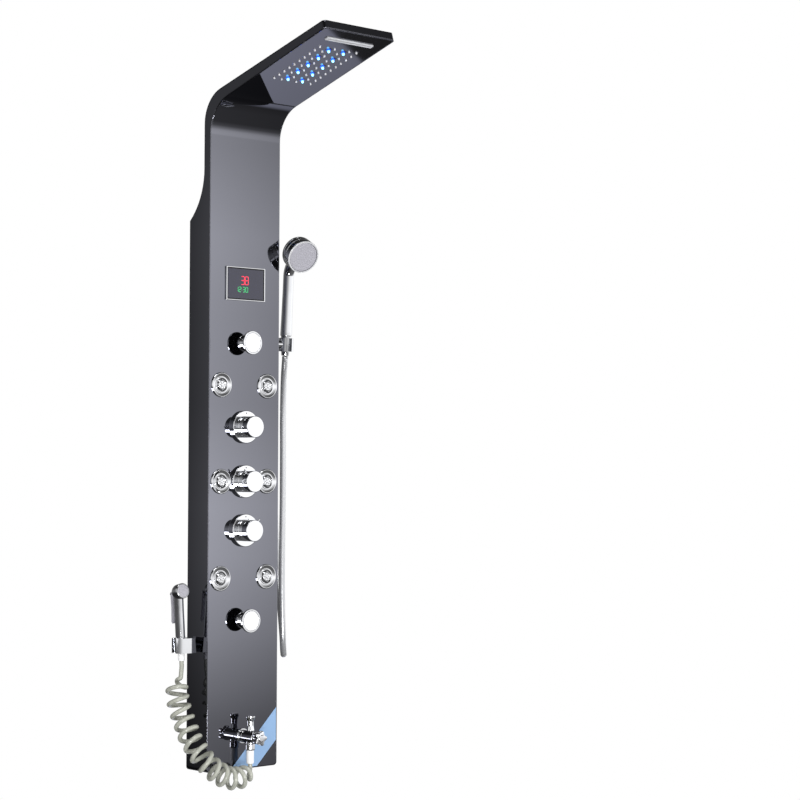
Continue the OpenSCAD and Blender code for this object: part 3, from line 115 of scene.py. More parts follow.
def place(name, build, finish, body, stands_for=()):
    mesh = bpy.data.meshes.new(name)
    shape = bmesh.new()
    build(shape)
    bmesh.ops.remove_doubles(shape, verts=shape.verts, dist=1e-6)
    bmesh.ops.recalc_face_normals(shape, faces=shape.faces)
    for face in shape.faces:
        face.smooth = True
    for edge in shape.edges:
        if len(edge.link_faces) == 2 and edge.calc_face_angle(0) > radians(32):
            edge.smooth = False
    shape.to_mesh(mesh)
    shape.free()
    piece = bpy.data.objects.new(name, mesh)
    mesh.materials.append(finish)
    scene.collection.objects.link(piece)
    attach(piece, body)
    if stands_for:
        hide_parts(*stands_for)
    return piece


def spline(points, steps):
    line = []
    for i in range(len(points) - 1):
        a, b = points[max(i - 1, 0)], points[i]
        c, d = points[i + 1], points[min(i + 2, len(points) - 1)]
        for k in range(steps):
            t = k / steps
            line.append((2 * b + (c - a) * t + (2 * a - 5 * b + 4 * c - d) * t * t
                         + (3 * b - a - 3 * c + d) * t ** 3) / 2)
    return line + [points[-1]]


def tube(line, radii, sides):
    def build(shape):
        old = None
        count = len(line)
        across = (line[1] - line[0]).orthogonal().normalized()
        for i, point in enumerate(line):
            along = (line[min(i + 1, count - 1)] - line[max(i - 1, 0)]).normalized()
            across = (across - along * across.dot(along)).normalized()
            turn = Matrix((across, along.cross(across), along)).transposed().to_4x4()
            radius = radii[i] if isinstance(radii, list) else radii
            ring = bmesh.ops.create_circle(shape, segments=sides, radius=radius,
                                           cap_ends=i in (0, count - 1),
                                           matrix=Matrix.Translation(point) @ turn)["verts"]
            if old:
                for k in range(sides):
                    shape.faces.new((old[k - 1], old[k], ring[k], ring[k - 1]))
            old = ring
    return build


grip_foot = Vector((150, -40, 984 - HANG)) * MM
grip_turn, grip_lean = radians(-10), radians(4.5)
grip_frame = (Matrix.Translation(grip_foot) @ Matrix.Rotation(grip_turn, 4, "Z")
              @ Matrix.Rotation(grip_lean, 4, "X"))
nut_length = 46
hose_play = 1.8
hose_diameter = 14
outlet_x, outlet_y = 124, -28
outlet_end = Vector((outlet_x, outlet_y, 770 - HANG)) * MM
hose_points = [grip_frame @ Vector((0, 0, -(nut_length + hose_play) * MM)),
               grip_frame @ Vector((0, 0, -(nut_length + hose_diameter) * MM))]
hose_points += [Vector((x, y, h - HANG)) * MM for x, y, h in (
    (139, -46, 881), (130, -55, 800), (129, -57, 700), (129, -57, 600), (128, -57, 500),
    (129, -56, 400), (132, -55, 320), (138, -50, 272), (149, -39, 246), (158, -26, 256),
    (162, -18, 290), (155, -16, 370), (145, -18, 460), (135, -22, 560), (128, -26, 670))]
hose_points += [outlet_end - Vector((0, 0, hose_diameter * MM)), outlet_end]
hose_line = spline(hose_points, 10)
# Silver foil under clear PVC: a satin grey tube with one long soft highlight down its side.
silver_hose = textured("silver PVC hose", {
    "Metallic": 0.6, "Base Color": linear("#c6c7ca"), "Coat Weight": 0.6, "Coat Roughness": 0.08},
    6.25, (0.18, 0.3), 0.05)
hand_hose = place("hand_shower_hose_tube", tube(hose_line, hose_diameter / 2 * MM, 24), silver_hose,
                  "panel", ["hand_shower_hose"])

# Curly hose of the bidet sprayer: a 10 mm tube of grey translucent PVC, set in 13 curls that
# spring back, hanging in a loop from the sprayer's nut to the nut of the lower valve.
bidet_foot = Vector((-138, -26, 298 - HANG)) * MM
bidet_lean = radians(-3.7)
bidet_frame = Matrix.Translation(bidet_foot) @ Matrix.Rotation(bidet_lean, 4, "Y")
curl_tube, curl_diameter, curls = 10, 53, 13
valve_nut_foot = 15.5
curl_top, curl_straight = -50.7, 11.7
curl_route = [bidet_frame @ (Vector((0, 0, z)) * MM) for z in (curl_top, curl_top - curl_straight)]
curl_route += [Vector((x, y, h - HANG)) * MM for x, y, h in (
    (-137, -27, 212), (-148, -30, 190), (-150, -34, 164), (-147, -39, 142), (-144, -47, 121),
    (-143, -58, 102), (-143, -71, 82), (-140, -85, 64), (-135, -98, 46), (-125, -106, 30),
    (-108, -111, 13), (-88, -112, 0), (-68, -112, -9), (-48, -111, -12), (-27, -109, -11),
    (-9, -106, -12), (-1, -104, -5), (0, -104, valve_nut_foot - curl_tube - 2),
    (0, -104, valve_nut_foot))]
spans = len(curl_route) - 1
fine = 8
fine_line = spline(curl_route, fine)
fine_run = [0.0]
for a, b in zip(fine_line, fine_line[1:]):
    fine_run.append(fine_run[-1] + (b - a).length)


def on_route(run):
    run = min(max(run, 0), fine_run[-1])
    k = next(i for i in range(1, len(fine_run)) if fine_run[i] >= run)
    u = (k - 1 + (run - fine_run[k - 1]) / (fine_run[k] - fine_run[k - 1])) / fine
    i = min(int(u), spans - 1)
    t = u - i
    a, b = curl_route[max(i - 1, 0)], curl_route[i]
    c, d = curl_route[i + 1], curl_route[min(i + 2, spans)]
    return (2 * b + (c - a) * t + (2 * a - 5 * b + 4 * c - d) * t * t
            + (3 * b - a - 3 * c + d) * t ** 3) / 2


def eased(x):
    t = min(max(x, 0), 1)
    return t * t * (3 - 2 * t)


curl_from, curl_to = fine_run[2 * fine], fine_run[(spans - 2) * fine]
curl_pitch = (curl_to - curl_from) / (curls + 0.5)
curl_radius = (curl_diameter - curl_tube) / 2 * MM
curl_phase = radians(120)


def curl_point(run):
    along = (on_route(run + MM) - on_route(run - MM)).normalized()
    first = Vector((0, -1, 0)).cross(along).normalized()
    second = along.cross(first)
    turn = curl_phase + tau * (run - curl_from) / curl_pitch
    swell = eased((run - curl_from) / curl_pitch) * eased((curl_to - run) / curl_pitch)
    return on_route(run) + curl_radius * swell * (cos(turn) * first + sin(turn) * second)


curl_steps = int((curls + 0.5) * 40)
curl_line = [curl_route[0], curl_route[1]]
curl_line += [curl_point(curl_from + (curl_to - curl_from) * k / curl_steps)
              for k in range(curl_steps + 1)]
curl_line += [curl_route[-2], curl_route[-1]]
# Soft PVC, set in its curls while warm: a milky grey with faint clouds and a wet highlight.
curly_pvc, tree, surface = material("translucent grey PVC", {
    "Roughness": 0.2, "IOR": 1.53, "Base Color": linear("#a3a499"), "Coat Weight": 0.3,
    "Coat Roughness": 0.1})
place_of = add(tree, "TexCoord")
cloud_size = 16.7
cloud = add(tree, "TexNoise", {"Scale": 1 / (cloud_size * MM), "Detail": 2},
            {"Vector": place_of.outputs["Object"]})
tint = add(tree, "ValToRGB", None, {"Fac": cloud.outputs["Fac"]},
           ((0, linear("#8f9187")), (1, linear("#b9bab0"))))
tree.links.new(tint.outputs["Color"], surface.inputs["Base Color"])
curly_hose = place("bidet_curly_hose", tube(curl_line, curl_tube / 2 * MM, 16), curly_pvc, "panel",
                   ["bidet_hose"])

# Folded front of the column and the sheet behind its head: stainless steel, polished to a
# mirror and then coated dark in a vacuum. The front is bent up from one blank.
sheet_depth, sheet_height, sheet_width = 75, 1400, 200
# A mirror dimmed to violet grey, with reflection and shade painted into its colour: painted nearly
# black at the foot, palest a third of the way up and deeper again above, and painted darker to the
# right and from the front back to the wall.
mirror_steel, tree, surface = material("dark coated mirror steel", {"Metallic": 1.0})
place_of = add(tree, "TexCoord")
parts = add(tree, "SeparateXYZ", None, {"Vector": place_of.outputs["Object"]})
rise = add(tree, "MapRange", {"From Min": -HANG * MM, "From Max": (sheet_height - HANG) * MM},
           {"Value": parts.outputs["Z"]})
coat_tint = (1, 1.015, 1.17)
# Painted reflection: tones by height in millimetres, painted into the colour of the coat.
painted_reflection_tones = ((0, 0.085), (110, 0.1), (180, 0.13), (300, 0.172), (480, 0.2), (590, 0.2), (700, 0.172),
              (820, 0.148), (1020, 0.154), (1200, 0.172), (1300, 0.16), (sheet_height, 0.145))
painted_reflection = add(tree, "ValToRGB", None, {"Fac": rise.outputs["Result"]},
           [(h / sheet_height, [tone * share for share in coat_tint] + [1])
            for h, tone in painted_reflection_tones])
# Painted shade: the colour darkens towards the right.
across = add(tree, "MapRange", {"From Min": -sheet_width / 2 * MM, "From Max": sheet_width / 2 * MM,
                                "To Min": 1.18, "To Max": 0.86}, {"Value": parts.outputs["X"]})
# Painted highlight and shade: the flanges are lighter near the front fold and darker back towards the
# wall.
flange_depth = 70
painted_shade_inward = add(tree, "MapRange", {"From Min": -flange_depth * MM, "From Max": 0.0, "To Min": 1.0,
                                "To Max": 0.62}, {"Value": parts.outputs["Y"]})
painted_shade = add(tree, "Math", {"operation": "MULTIPLY"}, {0: across.outputs["Result"]})
tree.links.new(painted_shade_inward.outputs["Result"], painted_shade.inputs[1])
painted_coat_colour = add(tree, "VectorMath", {"operation": "SCALE"},
            {0: painted_reflection.outputs["Color"], "Scale": painted_shade.outputs["Value"]})
tree.links.new(painted_coat_colour.outputs["Vector"], surface.inputs["Base Color"])
wave_length, fold_radius, smear_size = 143, 4, 33
ripple = add(tree, "TexNoise", {"Scale": 1 / (wave_length * MM), "Detail": 1},
             {"Vector": place_of.outputs["Object"]})
fold = add(tree, "Bevel", {"samples": 8, "Radius": fold_radius * MM})
dent = add(tree, "Bump", {"Strength": 0.015, "Distance": 0.003},
           {"Height": ripple.outputs["Fac"], "Normal": fold.outputs["Normal"]})
tree.links.new(dent.outputs["Normal"], surface.inputs["Normal"])
smear = add(tree, "TexNoise", {"Scale": 1 / (smear_size * MM), "Detail": 4},
            {"Vector": place_of.outputs["Object"]})
gloss = add(tree, "MapRange", {"To Min": 0.01, "To Max": 0.04}, {"Value": smear.outputs["Fac"]})
tree.links.new(gloss.outputs["Result"], surface.inputs["Roughness"])


def dress(finish, *names):
    for name in names:
        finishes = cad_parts[name].data.materials
        finishes.clear()
        finishes.append(finish)


dress(mirror_steel, "front_panel", "head_cover")

# Round knobs, with their flanges on the sheet and a short lever pin in each rim: turned brass
# with bright chrome plating. Each knob is a hollow cap, pushed on its valve's spindle.
flange_corners = [(5.4, 0, 0), (37.1, 0, 0), (37.1, 8.5, 1.6), (6, 8.5, 0.3), (5.4, 7, 0)]
knob_corners = [(0, 41, 0), (24.3, 41, 1.4), (24.3, 14, 0.4), (23.4, 13, 0.4), (23.4, 11, 0.4),
                (24.3, 10, 0.4), (24.3, 8.8, 0.3), (21.5, 8.8, 0.3), (21.5, 38, 0.5), (0, 38, 0)]
pin_corners = [(0, 10.5, 0), (1.6, 10.5, 0.8), (1.6, -2, 0), (0, -2, 0)]
pin_root, pin_rise = 24, 29
knobs = {"upper": (769.75, 90), "middle": (646.75, 38), "lower": (536.25, -43)}
# Chrome over polished brass: a sharp mirror, white where it meets the light, black where it
# meets the sheet, with only the faintest haze from wiping.
chrome = textured("polished chrome on brass", {"Metallic": 1.0, "Base Color": linear("#e2e3e6")},
                  11.1, (0.02, 0.07), 0.01)


def rounded(corners, steps=4, hold=0.15):
    line = []
    last = len(corners) - 1
    for i, (r, z, fillet) in enumerate(corners):
        corner = Vector((r, z))
        if not fillet or i in (0, last):
            line.append(corner)
            continue
        before, after = [Vector(corners[k][:2]) - corner for k in (i - 1, i + 1)]
        way_in, way_out = before.normalized(), after.normalized()
        if before.length > fillet + corners[i - 1][2] + 3 * hold:
            line.append(corner + way_in * (fillet + hold))
        for k in range(steps + 1):
            t = k / steps
            line.append(corner + way_in * fillet * (1 - t) ** 2 + way_out * fillet * t * t)
        if after.length > fillet + corners[i + 1][2] + 3 * hold:
            line.append(corner + way_out * (fillet + hold))
    return line


def turned(corners, turn_frame, steps=96):
    def build(shape):
        line = rounded(corners)
        verts = [shape.verts.new((p.x, 0, p.y)) for p in line]
        pairs = list(zip(verts, verts[1:]))
        if min(line[0].x, line[-1].x) > 0:
            pairs.append((verts[-1], verts[0]))
        edges = [shape.edges.new(pair) for pair in pairs]
        bmesh.ops.spin(shape, geom=verts + edges, cent=(0, 0, 0), axis=(0, 0, 1), dvec=(0, 0, 0),
                       angle=tau, steps=steps, use_merge=True, use_duplicate=False)
        bmesh.ops.remove_doubles(shape, verts=shape.verts, dist=1e-4)
        bmesh.ops.transform(shape, matrix=turn_frame @ Matrix.Scale(MM, 4), verts=shape.verts)
    return build


def several(*builders):
    def build(shape):
        for one in builders:
            part = bmesh.new()
            one(part)
            made = bpy.data.meshes.new("part")
            part.to_mesh(made)
            part.free()
            shape.from_mesh(made)
            bpy.data.meshes.remove(made)
    return build


def on_front(x, h, out=0):
    return (Matrix.Translation(Vector((x, -sheet_depth - out, h - HANG)) * MM)
            @ Matrix.Rotation(radians(90), 4, "X"))


place("knob_flange_rings", several(*[turned(flange_corners, on_front(0, h))
                                     for h, turn in knobs.values()]),
      chrome, "panel", ["knob_flanges"])
for name, (h, turn) in knobs.items():
    pin_frame = (on_front(0, h) @ Matrix.Rotation(radians(turn), 4, "Z")
                 @ Matrix.Translation(Vector((0, pin_root, pin_rise)) * MM)
                 @ Matrix.Rotation(-pi / 2, 4, "X"))
    place(name + "_knob_cap", several(turned(knob_corners, on_front(0, h)),
                                      turned(pin_corners, pin_frame, 24)),
          chrome, name + "_knob_set", [name + "_knob"])
# Black paint, stamped on: matt, so the dot stays a plain spot on the mirror of the flange.
dot_black = textured("black paint dot", {"Base Color": linear("#2a2a2c")}, 1.1, (0.4, 0.6), 0.1)
dot_corners = [(0, 0.06, 0), (1.6, 0.06, 0), (1.6, -0.2, 0), (0, -0.2, 0)]
dot_up, flange_face = 31, 8.5
place("flange_marks", several(*[turned(dot_corners, on_front(0, h + dot_up, flange_face), 24)
                                for h, turn in knobs.values()]),
      dot_black, "panel")

# Body jets: six dished rings of chrome-plated plastic, each with a ball inside that tilts and
# throws its water through a ring of small holes.
jet_corners = [(21, 0, 0), (28.2, 0, 0), (28.2, 1.7, 0.6), (27, 3.2, 1.0), (25.4, 3.2, 0.8),
               (23.2, 2.2, 0.8), (19, 0.9, 1.0), (17.6, 1.0, 0.3), (17.4, 2.3, 0.4),
               (15.9, 2.3, 0.4), (13.9, 1.3, 0.2), (15.1, -5, 0), (15.1, -18, 0), (21, -18, 0)]
ball_corners = [(0, 4.6, 0), (3, 4.6, 0.3), (3.6, 3.6, 0.3), (8.6, 3.6, 0.4), (9.4, 4.4, 0.4),
                (10.8, 4, 0.5), (13.4, 0.8, 0.8), (15, -6, 3), (12.6, -14, 0), (0, -14, 0)]
jet_hole = [(0, 0.1, 0), (1.1, 0.1, 0), (1.1, -0.3, 0), (0, -0.3, 0)]
ball_face, hole_rings = 3.6, [(6.1, 6)]
jet_heights = {"upper": 863.5, "middle": 646.75, "lower": 430}
jet_sides = {"left": -65.6, "right": 65.6}
# Chrome on moulded plastic: a mirror too, but a little greyer and softer than that on brass.
plated = textured("bright chrome on moulded ABS", {"Metallic": 1.0, "Base Color": linear("#dadbde")},
                  8.3, (0.03, 0.08), 0.02)
# Nearly black matt plastic, the real colour of the disc backs and the display seat; on the holes it is
# painted shade, so that a hole looks deep.
dark_plastic_and_hole_shade = textured("dark plastic and painted shade in holes", {"Base Color": linear("#1c1c1e")}, 1.4,
                     (0.5, 0.7), 0.1)


def in_rings(corners, face_frame, rings, steps):
    spots = [Vector((ring * cos(tau * k / count), ring * sin(tau * k / count), 0)) * MM
             for ring, count in rings for k in range(count)]
    return several(*[turned(corners, face_frame @ Matrix.Translation(spot), steps)
                     for spot in spots])


place("jet_rings", several(*[turned(jet_corners, on_front(x, h)) for h in jet_heights.values()
                             for x in jet_sides.values()]),
      plated, "panel", ["jet_bezels"])
for level, h in jet_heights.items():
    for side, x in jet_sides.items():
        body = "nozzle_%s_%s" % (level, side)
        place("ball_%s_%s" % (level, side), turned(ball_corners, on_front(x, h), 64), plated, body,
              ["jet_nozzle_%s_%s" % (level, side)])
        # Painted shade: each hole is a thin dark disc on the ball's face, standing for the shadow
        # inside it.
        place("holes_%s_%s" % (level, side),
              in_rings(jet_hole, on_front(x, h, ball_face), hole_rings, 12), dark_plastic_and_hole_shade, body)

# Round body sprays: a disc with a white face full of fine nozzles, on a ball joint that a
# turned collar holds to its foot on the sheet. The disc's back is black and the rest is chromed.
foot_corners = [(4, 0, 0), (19, 0, 0), (19, 3, 1), (12, 3, 0.3), (11, 3.4, 0.3), (11, 7.8, 0),
                (6, 7.8, 0), (4, 6, 0)]
collar_corners = [(11.1, 3.3, 0.3), (13, 3.3, 0.4), (13, 15.6, 1.2), (10.4, 18.2, 0.8),
                  (6.6, 18.2, 0.4), (8.1, 13.4, 0), (8.1, 8, 0), (11.1, 8, 0)]
disc_corners = [(0, 30.0, 0), (21.6, 30.0, 0.1), (21.8, 29.4, 0.1), (22.6, 29.4, 0.1),
                (23, 30.3, 0.3), (26.5, 30.3, 0.9), (26.5, 25.4, 1.2), (19, 22.6, 2), (8, 21.6, 0.8),
                (4, 20.6, 0.8), (4, 18, 0.6), (7, 15.2, 2), (8, 11.4, 2), (3.6, 6.4, 0.8), (0, 6, 0)]
back_corners = [(8.5, 21.4, 0), (19, 22.4, 1), (26.2, 25.2, 0.3), (26.2, 25.7, 0), (19, 23, 0),
                (8.5, 22, 0)]
plate_corners = [(0, 30.4, 0), (21.2, 30.4, 0.3), (21.2, 29.6, 0), (0, 29.6, 0)]
spray_nub = [(0, 0.9, 0), (0.5, 0.9, 0), (0.8, 0, 0), (0, 0, 0)]
nub_foot, nub_rings = 30.3, [(4.5, 6), (9, 12), (13.5, 18), (18, 24)]
spray_heights = {"upper": 959.5, "lower": 334}
# White ABS from a finely etched mould: bright, with a broad soft sheen.
white_abs = textured("white moulded ABS", {"Base Color": linear("#eeeeef")}, 1.1, (0.25, 0.4), 0.08)
place("spray_foot_rings", several(*[turned(foot_corners, on_front(0, h))
                                    for h in spray_heights.values()]),
      chrome, "panel", ["spray_feet"])
for level, h in spray_heights.items():
    place(level + "_spray_sleeve", turned(collar_corners, on_front(0, h)), chrome,
          level + "_collar", [level + "_spray_collar"])
    place(level + "_spray_disc", turned(disc_corners, on_front(0, h)), plated, level + "_spray",
          [level + "_spray_head"])
    place(level + "_spray_back", turned(back_corners, on_front(0, h)), dark_plastic_and_hole_shade, level + "_spray")
    place(level + "_spray_plate", turned(plate_corners, on_front(0, h)), white_abs,
          level + "_spray")
    place(level + "_spray_nubs", in_rings(spray_nub, on_front(0, h, nub_foot), nub_rings, 8),
          white_abs, level + "_spray")

# Hand shower: a chromed plastic grip that runs in one piece into a drum head, with two dark
# bands and a bright ring round the drum and a pale grey spray plate in front.
drum_place, drum_tilt = Vector((0, -47, 190)) * MM, radians(21)
drum_frame = (grip_frame @ Matrix.Translation(drum_place)
              @ Matrix.Rotation(radians(90) + drum_tilt, 4, "X"))
grip_corners = [(0, 0, 0), (13.4, 0, 1), (13.4, 8, 0.5), (12.9, 40, 6), (12.3, 100, 6),
                (12.3, 140, 0), (0, 140, 0)]
drum_corners = [(0, -20, 0), (21, -20, 6), (33.4, -19, 5), (37.9, -14, 2), (38.5, -9, 0.4),
                (37.7, -8.4, 0.2), (37.7, -7.2, 0.2), (38.5, -6.6, 0.3), (38.5, 2.2, 0.3),
                (37.7, 2.8, 0.2), (37.7, 4.0, 0.2), (38.5, 4.6, 0.3), (38.5, 18.2, 1.4),
                (36.8, 20, 0.8), (35.2, 20, 0.3), (35, 18, 0.2), (0, 18, 0)]
neck_points = ((0, 128), (0, 140), (-2, 150), (-8, 161), (-17, 171), (-28, 180), (-36, 185))
neck_line = spline([grip_frame @ (Vector((0, y, z)) * MM) for y, z in neck_points], 4)
neck_radius, neck_flare = 12.3, 1.7
neck_radii = [(neck_radius + neck_flare * (k / (len(neck_line) - 1)) ** 2) * MM
              for k in range(len(neck_line))]
place("hand_shower_shell", several(turned(grip_corners, grip_frame),
                                   tube(neck_line, neck_radii, 48),
                                   turned(drum_corners, drum_frame, 128)),
      plated, "hand_shower", ["hand_shower_body"])
# Grey ABS from an etched mould: an even tone with a soft sheen, calm beside the mirrors.
pale_grey = textured("pale grey moulded ABS", {"Base Color": linear("#a6a5ad")}, 1.4, (0.3, 0.42),
                     0.1)
# Satin chrome: pale and blurred, so that it draws a bright line from every side.
satin_rim = textured("satin chrome rim", {"Metallic": 0.4, "Base Color": linear("#e6e7ea")}, 3.3,
                     (0.28, 0.4), 0.03)
place("hand_shower_rim", turned([(35.1, 18.2, 0), (38.3, 18.2, 0), (38.7, 18.8, 0.3),
                                 (38.1, 20.5, 0.6), (35.3, 20.5, 0.4)], drum_frame, 128),
      satin_rim, "hand_shower")
place("hand_shower_plate", turned([(0, 19.4, 0), (32.8, 19.4, 0.6), (34.7, 18.6, 0.3),
                                   (34.7, 17.2, 0), (0, 17.2, 0)], drum_frame),
      pale_grey, "hand_shower", ["hand_shower_face"])
face_nub = [(0, 0.9, 0), (0.6, 0.9, 0), (0.9, 0, 0), (0, 0, 0)]
drum_face = drum_frame @ Matrix.Translation((0, 0, 19.3 * MM))
place("hand_shower_nubs",
      in_rings(face_nub, drum_face, [(6, 6), (12, 12), (18, 18), (24, 24), (30, 30)], 8),
      pale_grey, "hand_shower")
nut_corners = [(0, -nut_length, 0), (8.5, -nut_length, 0.8), (9.6, -38, 2), (10.9, -20, 2),
               (11.9, -2, 0.5), (11.4, 0, 0.4), (0, 0, 0)]
place("hand_shower_cone_nut", turned(nut_corners, grip_frame), chrome, "hand_shower",
      ["handset_hose_nut"])
dress(chrome, "holder_bracket", "holder_cup")

# Outlet of the hand shower's hose, on the right flange: a short elbow of chromed brass that comes
# through the sheet, with the cone nut that clamps the hose's upper end.
outlet_corners = [(0, 770, 0), (8.2, 770, 0.6), (9.4, 776, 2), (10.8, 785, 1), (10.8, 787, 0.6),
                  (9.6, 788, 0.3), (0, 788, 0)]
outlet_frame = Matrix.Translation(Vector((outlet_x, outlet_y, -HANG)) * MM)
place("outlet_nut", turned(outlet_corners, outlet_frame, 64), chrome, "panel",
      ["outlet_hose_nuts"])
dress(chrome, "side_outlet")

# Bidet sprayer: a chromed plastic grip with a short round head, a pale grey spray plate with
# fine holes and a grey trigger along its back. It stands in a chromed holder with a slot, and a
# white plastic nut holds its hose.
head_rise, head_tilt = 103, radians(12)
bidet_head = (bidet_frame @ Matrix.Translation((0, 0, head_rise * MM))
              @ Matrix.Rotation(radians(90) - head_tilt, 4, "X"))
bidet_grip = [(0, -33.4, 0), (8.4, -33.4, 0.4), (9.5, 0.6, 0), (9.5, 1, 0), (10.75, 1, 0.8),
              (10.75, 30, 8), (10.5, 60, 8), (10.75, 100, 0), (0, 100, 0)]
bidet_barrel = [(0, -11, 0), (9, -11, 3), (14.5, -6, 3), (17, 1, 3), (17, 14.6, 0.3),
                (16.4, 15.2, 0.2), (16.4, 15.9, 0.2), (17, 16.4, 0.3), (17, 18.3, 0.8),
                (15.4, 19, 0.5), (14.1, 19, 0.2), (13.9, 17, 0), (0, 17, 0)]
place("bidet_shell", several(turned(bidet_grip, bidet_frame, 64),
                             turned(bidet_barrel, bidet_head, 64)),
      plated, "bidet_sprayer", ["bidet_body"])
place("bidet_plate", turned([(0, 18.6, 0), (13, 18.6, 0.5), (13.8, 18, 0), (13.8, 16.4, 0),
                             (0, 16.4, 0)], bidet_head, 64),
      pale_grey, "bidet_sprayer", ["bidet_face"])
fine_hole = [(0, 0.08, 0), (0.55, 0.08, 0), (0.55, -0.2, 0), (0, -0.2, 0)]
head_face = bidet_head @ Matrix.Translation((0, 0, 18.6 * MM))
# Painted shade: each hole is a thin dark disc on the plate, standing for the shadow inside it.
place("bidet_plate_holes",
      in_rings(fine_hole, head_face, [(0, 1), (3.4, 6), (6.8, 12), (10.2, 18)], 8),
      dark_plastic_and_hole_shade, "bidet_sprayer")
dress(pale_grey, "bidet_trigger")
dress(chrome, "bidet_trigger_pin", "bidet_holder")
place("bidet_nut", turned([(0, -50.4, 0), (6.6, -50.4, 0.5), (7.25, -48, 0.5), (7.25, -35, 0.6),
                           (6.4, -33.5, 0.3), (0, -33.5, 0)], bidet_frame, 48),
      white_abs, "bidet_sprayer", ["bidet_hose_nut"])

# Lower valve: a turned brass body, chromed, with a lobed handle in front, a pull knob on top
# that sends the water to the curly hose, and a white plastic nut below.
valve_height, branch_y = 74.5, -104
branch = Matrix.Translation(Vector((0, branch_y, valve_height - HANG)) * MM)
valve_body = [(0, -12, 0), (9, -12, 0), (9, 0, 0), (17, 0, 0), (17, 3, 0.9), (14, 3, 0.4),
              (14, 12, 0.3), (13.4, 12.6, 0.2), (13.4, 13.4, 0.2), (14, 14, 0.3), (14, 49.5, 1.5),
              (9.4, 51, 0.8), (9.4, 54, 0.5), (5, 54, 0), (5, 62, 0), (0, 62, 0)]
valve_branch = [(0, -29, 0), (10.2, -29, 0.6), (10.75, -27, 0.6), (10.75, -16, 0.6),
                (9.8, -14.5, 0.4), (9.8, 0, 0), (0, 0, 0)]
place("valve_casting", several(turned(valve_body, on_front(0, valve_height), 64),
                               turned(valve_branch, branch, 64)),
      chrome, "panel", ["lower_valve_body"])
pull_corners = [(0, 48, 0), (9, 48, 1), (10.5, 46.6, 1), (10.5, 43, 1.6), (7.8, 37, 3), (7.6, 24, 3),
                (8.9, 14.4, 0.6), (3, 14.3, 0), (3, 2.2, 0), (0, 2.2, 0)]
place("pull_knob_top", turned(pull_corners, branch, 64), chrome, "diverter_pull",
      ["pull_knob"])


star_radius, lobe_height, lobes = 14.7, 2.6, 5
star_back, star_thick, star_round = 55.2, 13.4, 1.8


def star(shape):
    outline = []
    for k in range(100):
        turn = tau * k / 100
        reach = star_radius + lobe_height * cos(lobes * turn)
        outline.append(Vector((reach * cos(turn), reach * sin(turn), star_back)))
    face = shape.faces.new([shape.verts.new(p) for p in outline])
    front = bmesh.ops.extrude_face_region(shape, geom=[face])
    moved = [v for v in front["geom"] if isinstance(v, bmesh.types.BMVert)]
    bmesh.ops.translate(shape, verts=moved, vec=(0, 0, star_thick))
    caps = [f for f in shape.faces if len(f.verts) > 4]
    rims = list({e for f in caps for e in f.edges})
    bmesh.ops.bevel(shape, geom=rims, offset=star_round, segments=4, profile=0.5, affect="EDGES",
                    material=-1)
    bmesh.ops.transform(shape, matrix=on_front(0, valve_height) @ Matrix.Scale(MM, 4),
                        verts=shape.verts)


cap_corners = [(0, 70.2, 0), (7, 70, 1), (9, 68, 0.5), (9, 66, 0), (0, 66, 0)]
place("valve_star_handle", several(star, turned(cap_corners, on_front(0, valve_height), 48)),
      chrome, "valve_handle", ["lower_valve_handle"])
end_nut_corners = [(0, valve_nut_foot, 0), (7.6, valve_nut_foot, 0.5), (8.5, 18, 0.6),
                   (8.5, 43.6, 0.8), (7.5, 45.5, 0.4), (0, 45.5, 0)]
place("hose_end_nuts",
      turned(end_nut_corners, Matrix.Translation(Vector((0, branch_y, -HANG)) * MM), 48),
      white_abs, "panel")

# Display: a chromed frame with a black seat, which holds a sheet of dark glass. The red two-digit
# temperature and the small green clock of its module glow through the glass.
display_frame = on_front(0, 1093.5)
# Smoked glass: nearly black with a hint of violet, under a sharp reflection.
dark_glass = textured("smoked display glass", {
    "Base Color": linear("#17172f"), "Coat Weight": 0.4, "Coat Roughness": 0.02}, 25, (0.03, 0.07))


def window(window_frame, wide, tall, rim, low, high, edge):
    def build(shape):
        outer = [(-wide / 2, -tall / 2), (wide / 2, -tall / 2), (wide / 2, tall / 2),
                 (-wide / 2, tall / 2)]
        inner = [(x - rim if x > 0 else x + rim, y - rim if y > 0 else y + rim) for x, y in outer]
        rings = [[shape.verts.new((x, y, z)) for x, y in path]
                 for path, z in ((outer, low), (outer, high), (inner, high), (inner, low))]
        for a, b in zip(rings, rings[1:] + rings[:1]):
            for k in range(4):
                shape.faces.new((a[k - 1], a[k], b[k], b[k - 1]))
        bmesh.ops.bevel(shape, geom=shape.edges[:], offset=edge, segments=3, profile=0.5,
                        affect="EDGES", material=-1)
        bmesh.ops.transform(shape, matrix=window_frame @ Matrix.Scale(MM, 4), verts=shape.verts)
    return build


place("display_lip", window(display_frame, wide=111, tall=76, rim=2.2, low=0, high=4, edge=0.5),
      chrome, "panel", ["display_bezel"])
place("display_seat", window(display_frame, wide=107, tall=72, rim=2.6, low=0, high=3.3, edge=0.2),
      dark_plastic_and_hole_shade, "panel")
dress(dark_glass, "display_glass")
segments = {"0": "abcdef", "1": "bc", "2": "abged", "3": "abgcd", "4": "fgbc", "5": "afgcd",
            "6": "afgedc", "7": "abc", "8": "abcdefg", "9": "abfgcd"}
bars = {"a": (0.5, 1, 0), "b": (1, 0.75, 1), "c": (1, 0.25, 1), "d": (0.5, 0, 0),
        "e": (0, 0.25, 1), "f": (0, 0.75, 1), "g": (0.5, 0.5, 0)}


def glowing(name, colour, strength):
    return textured(name, {"Base Color": linear(colour), "Emission Color": linear(colour),
                           "Emission Strength": strength}, 2, (0.35, 0.45))


glass_face, bar_depth = 3.1, 0.2


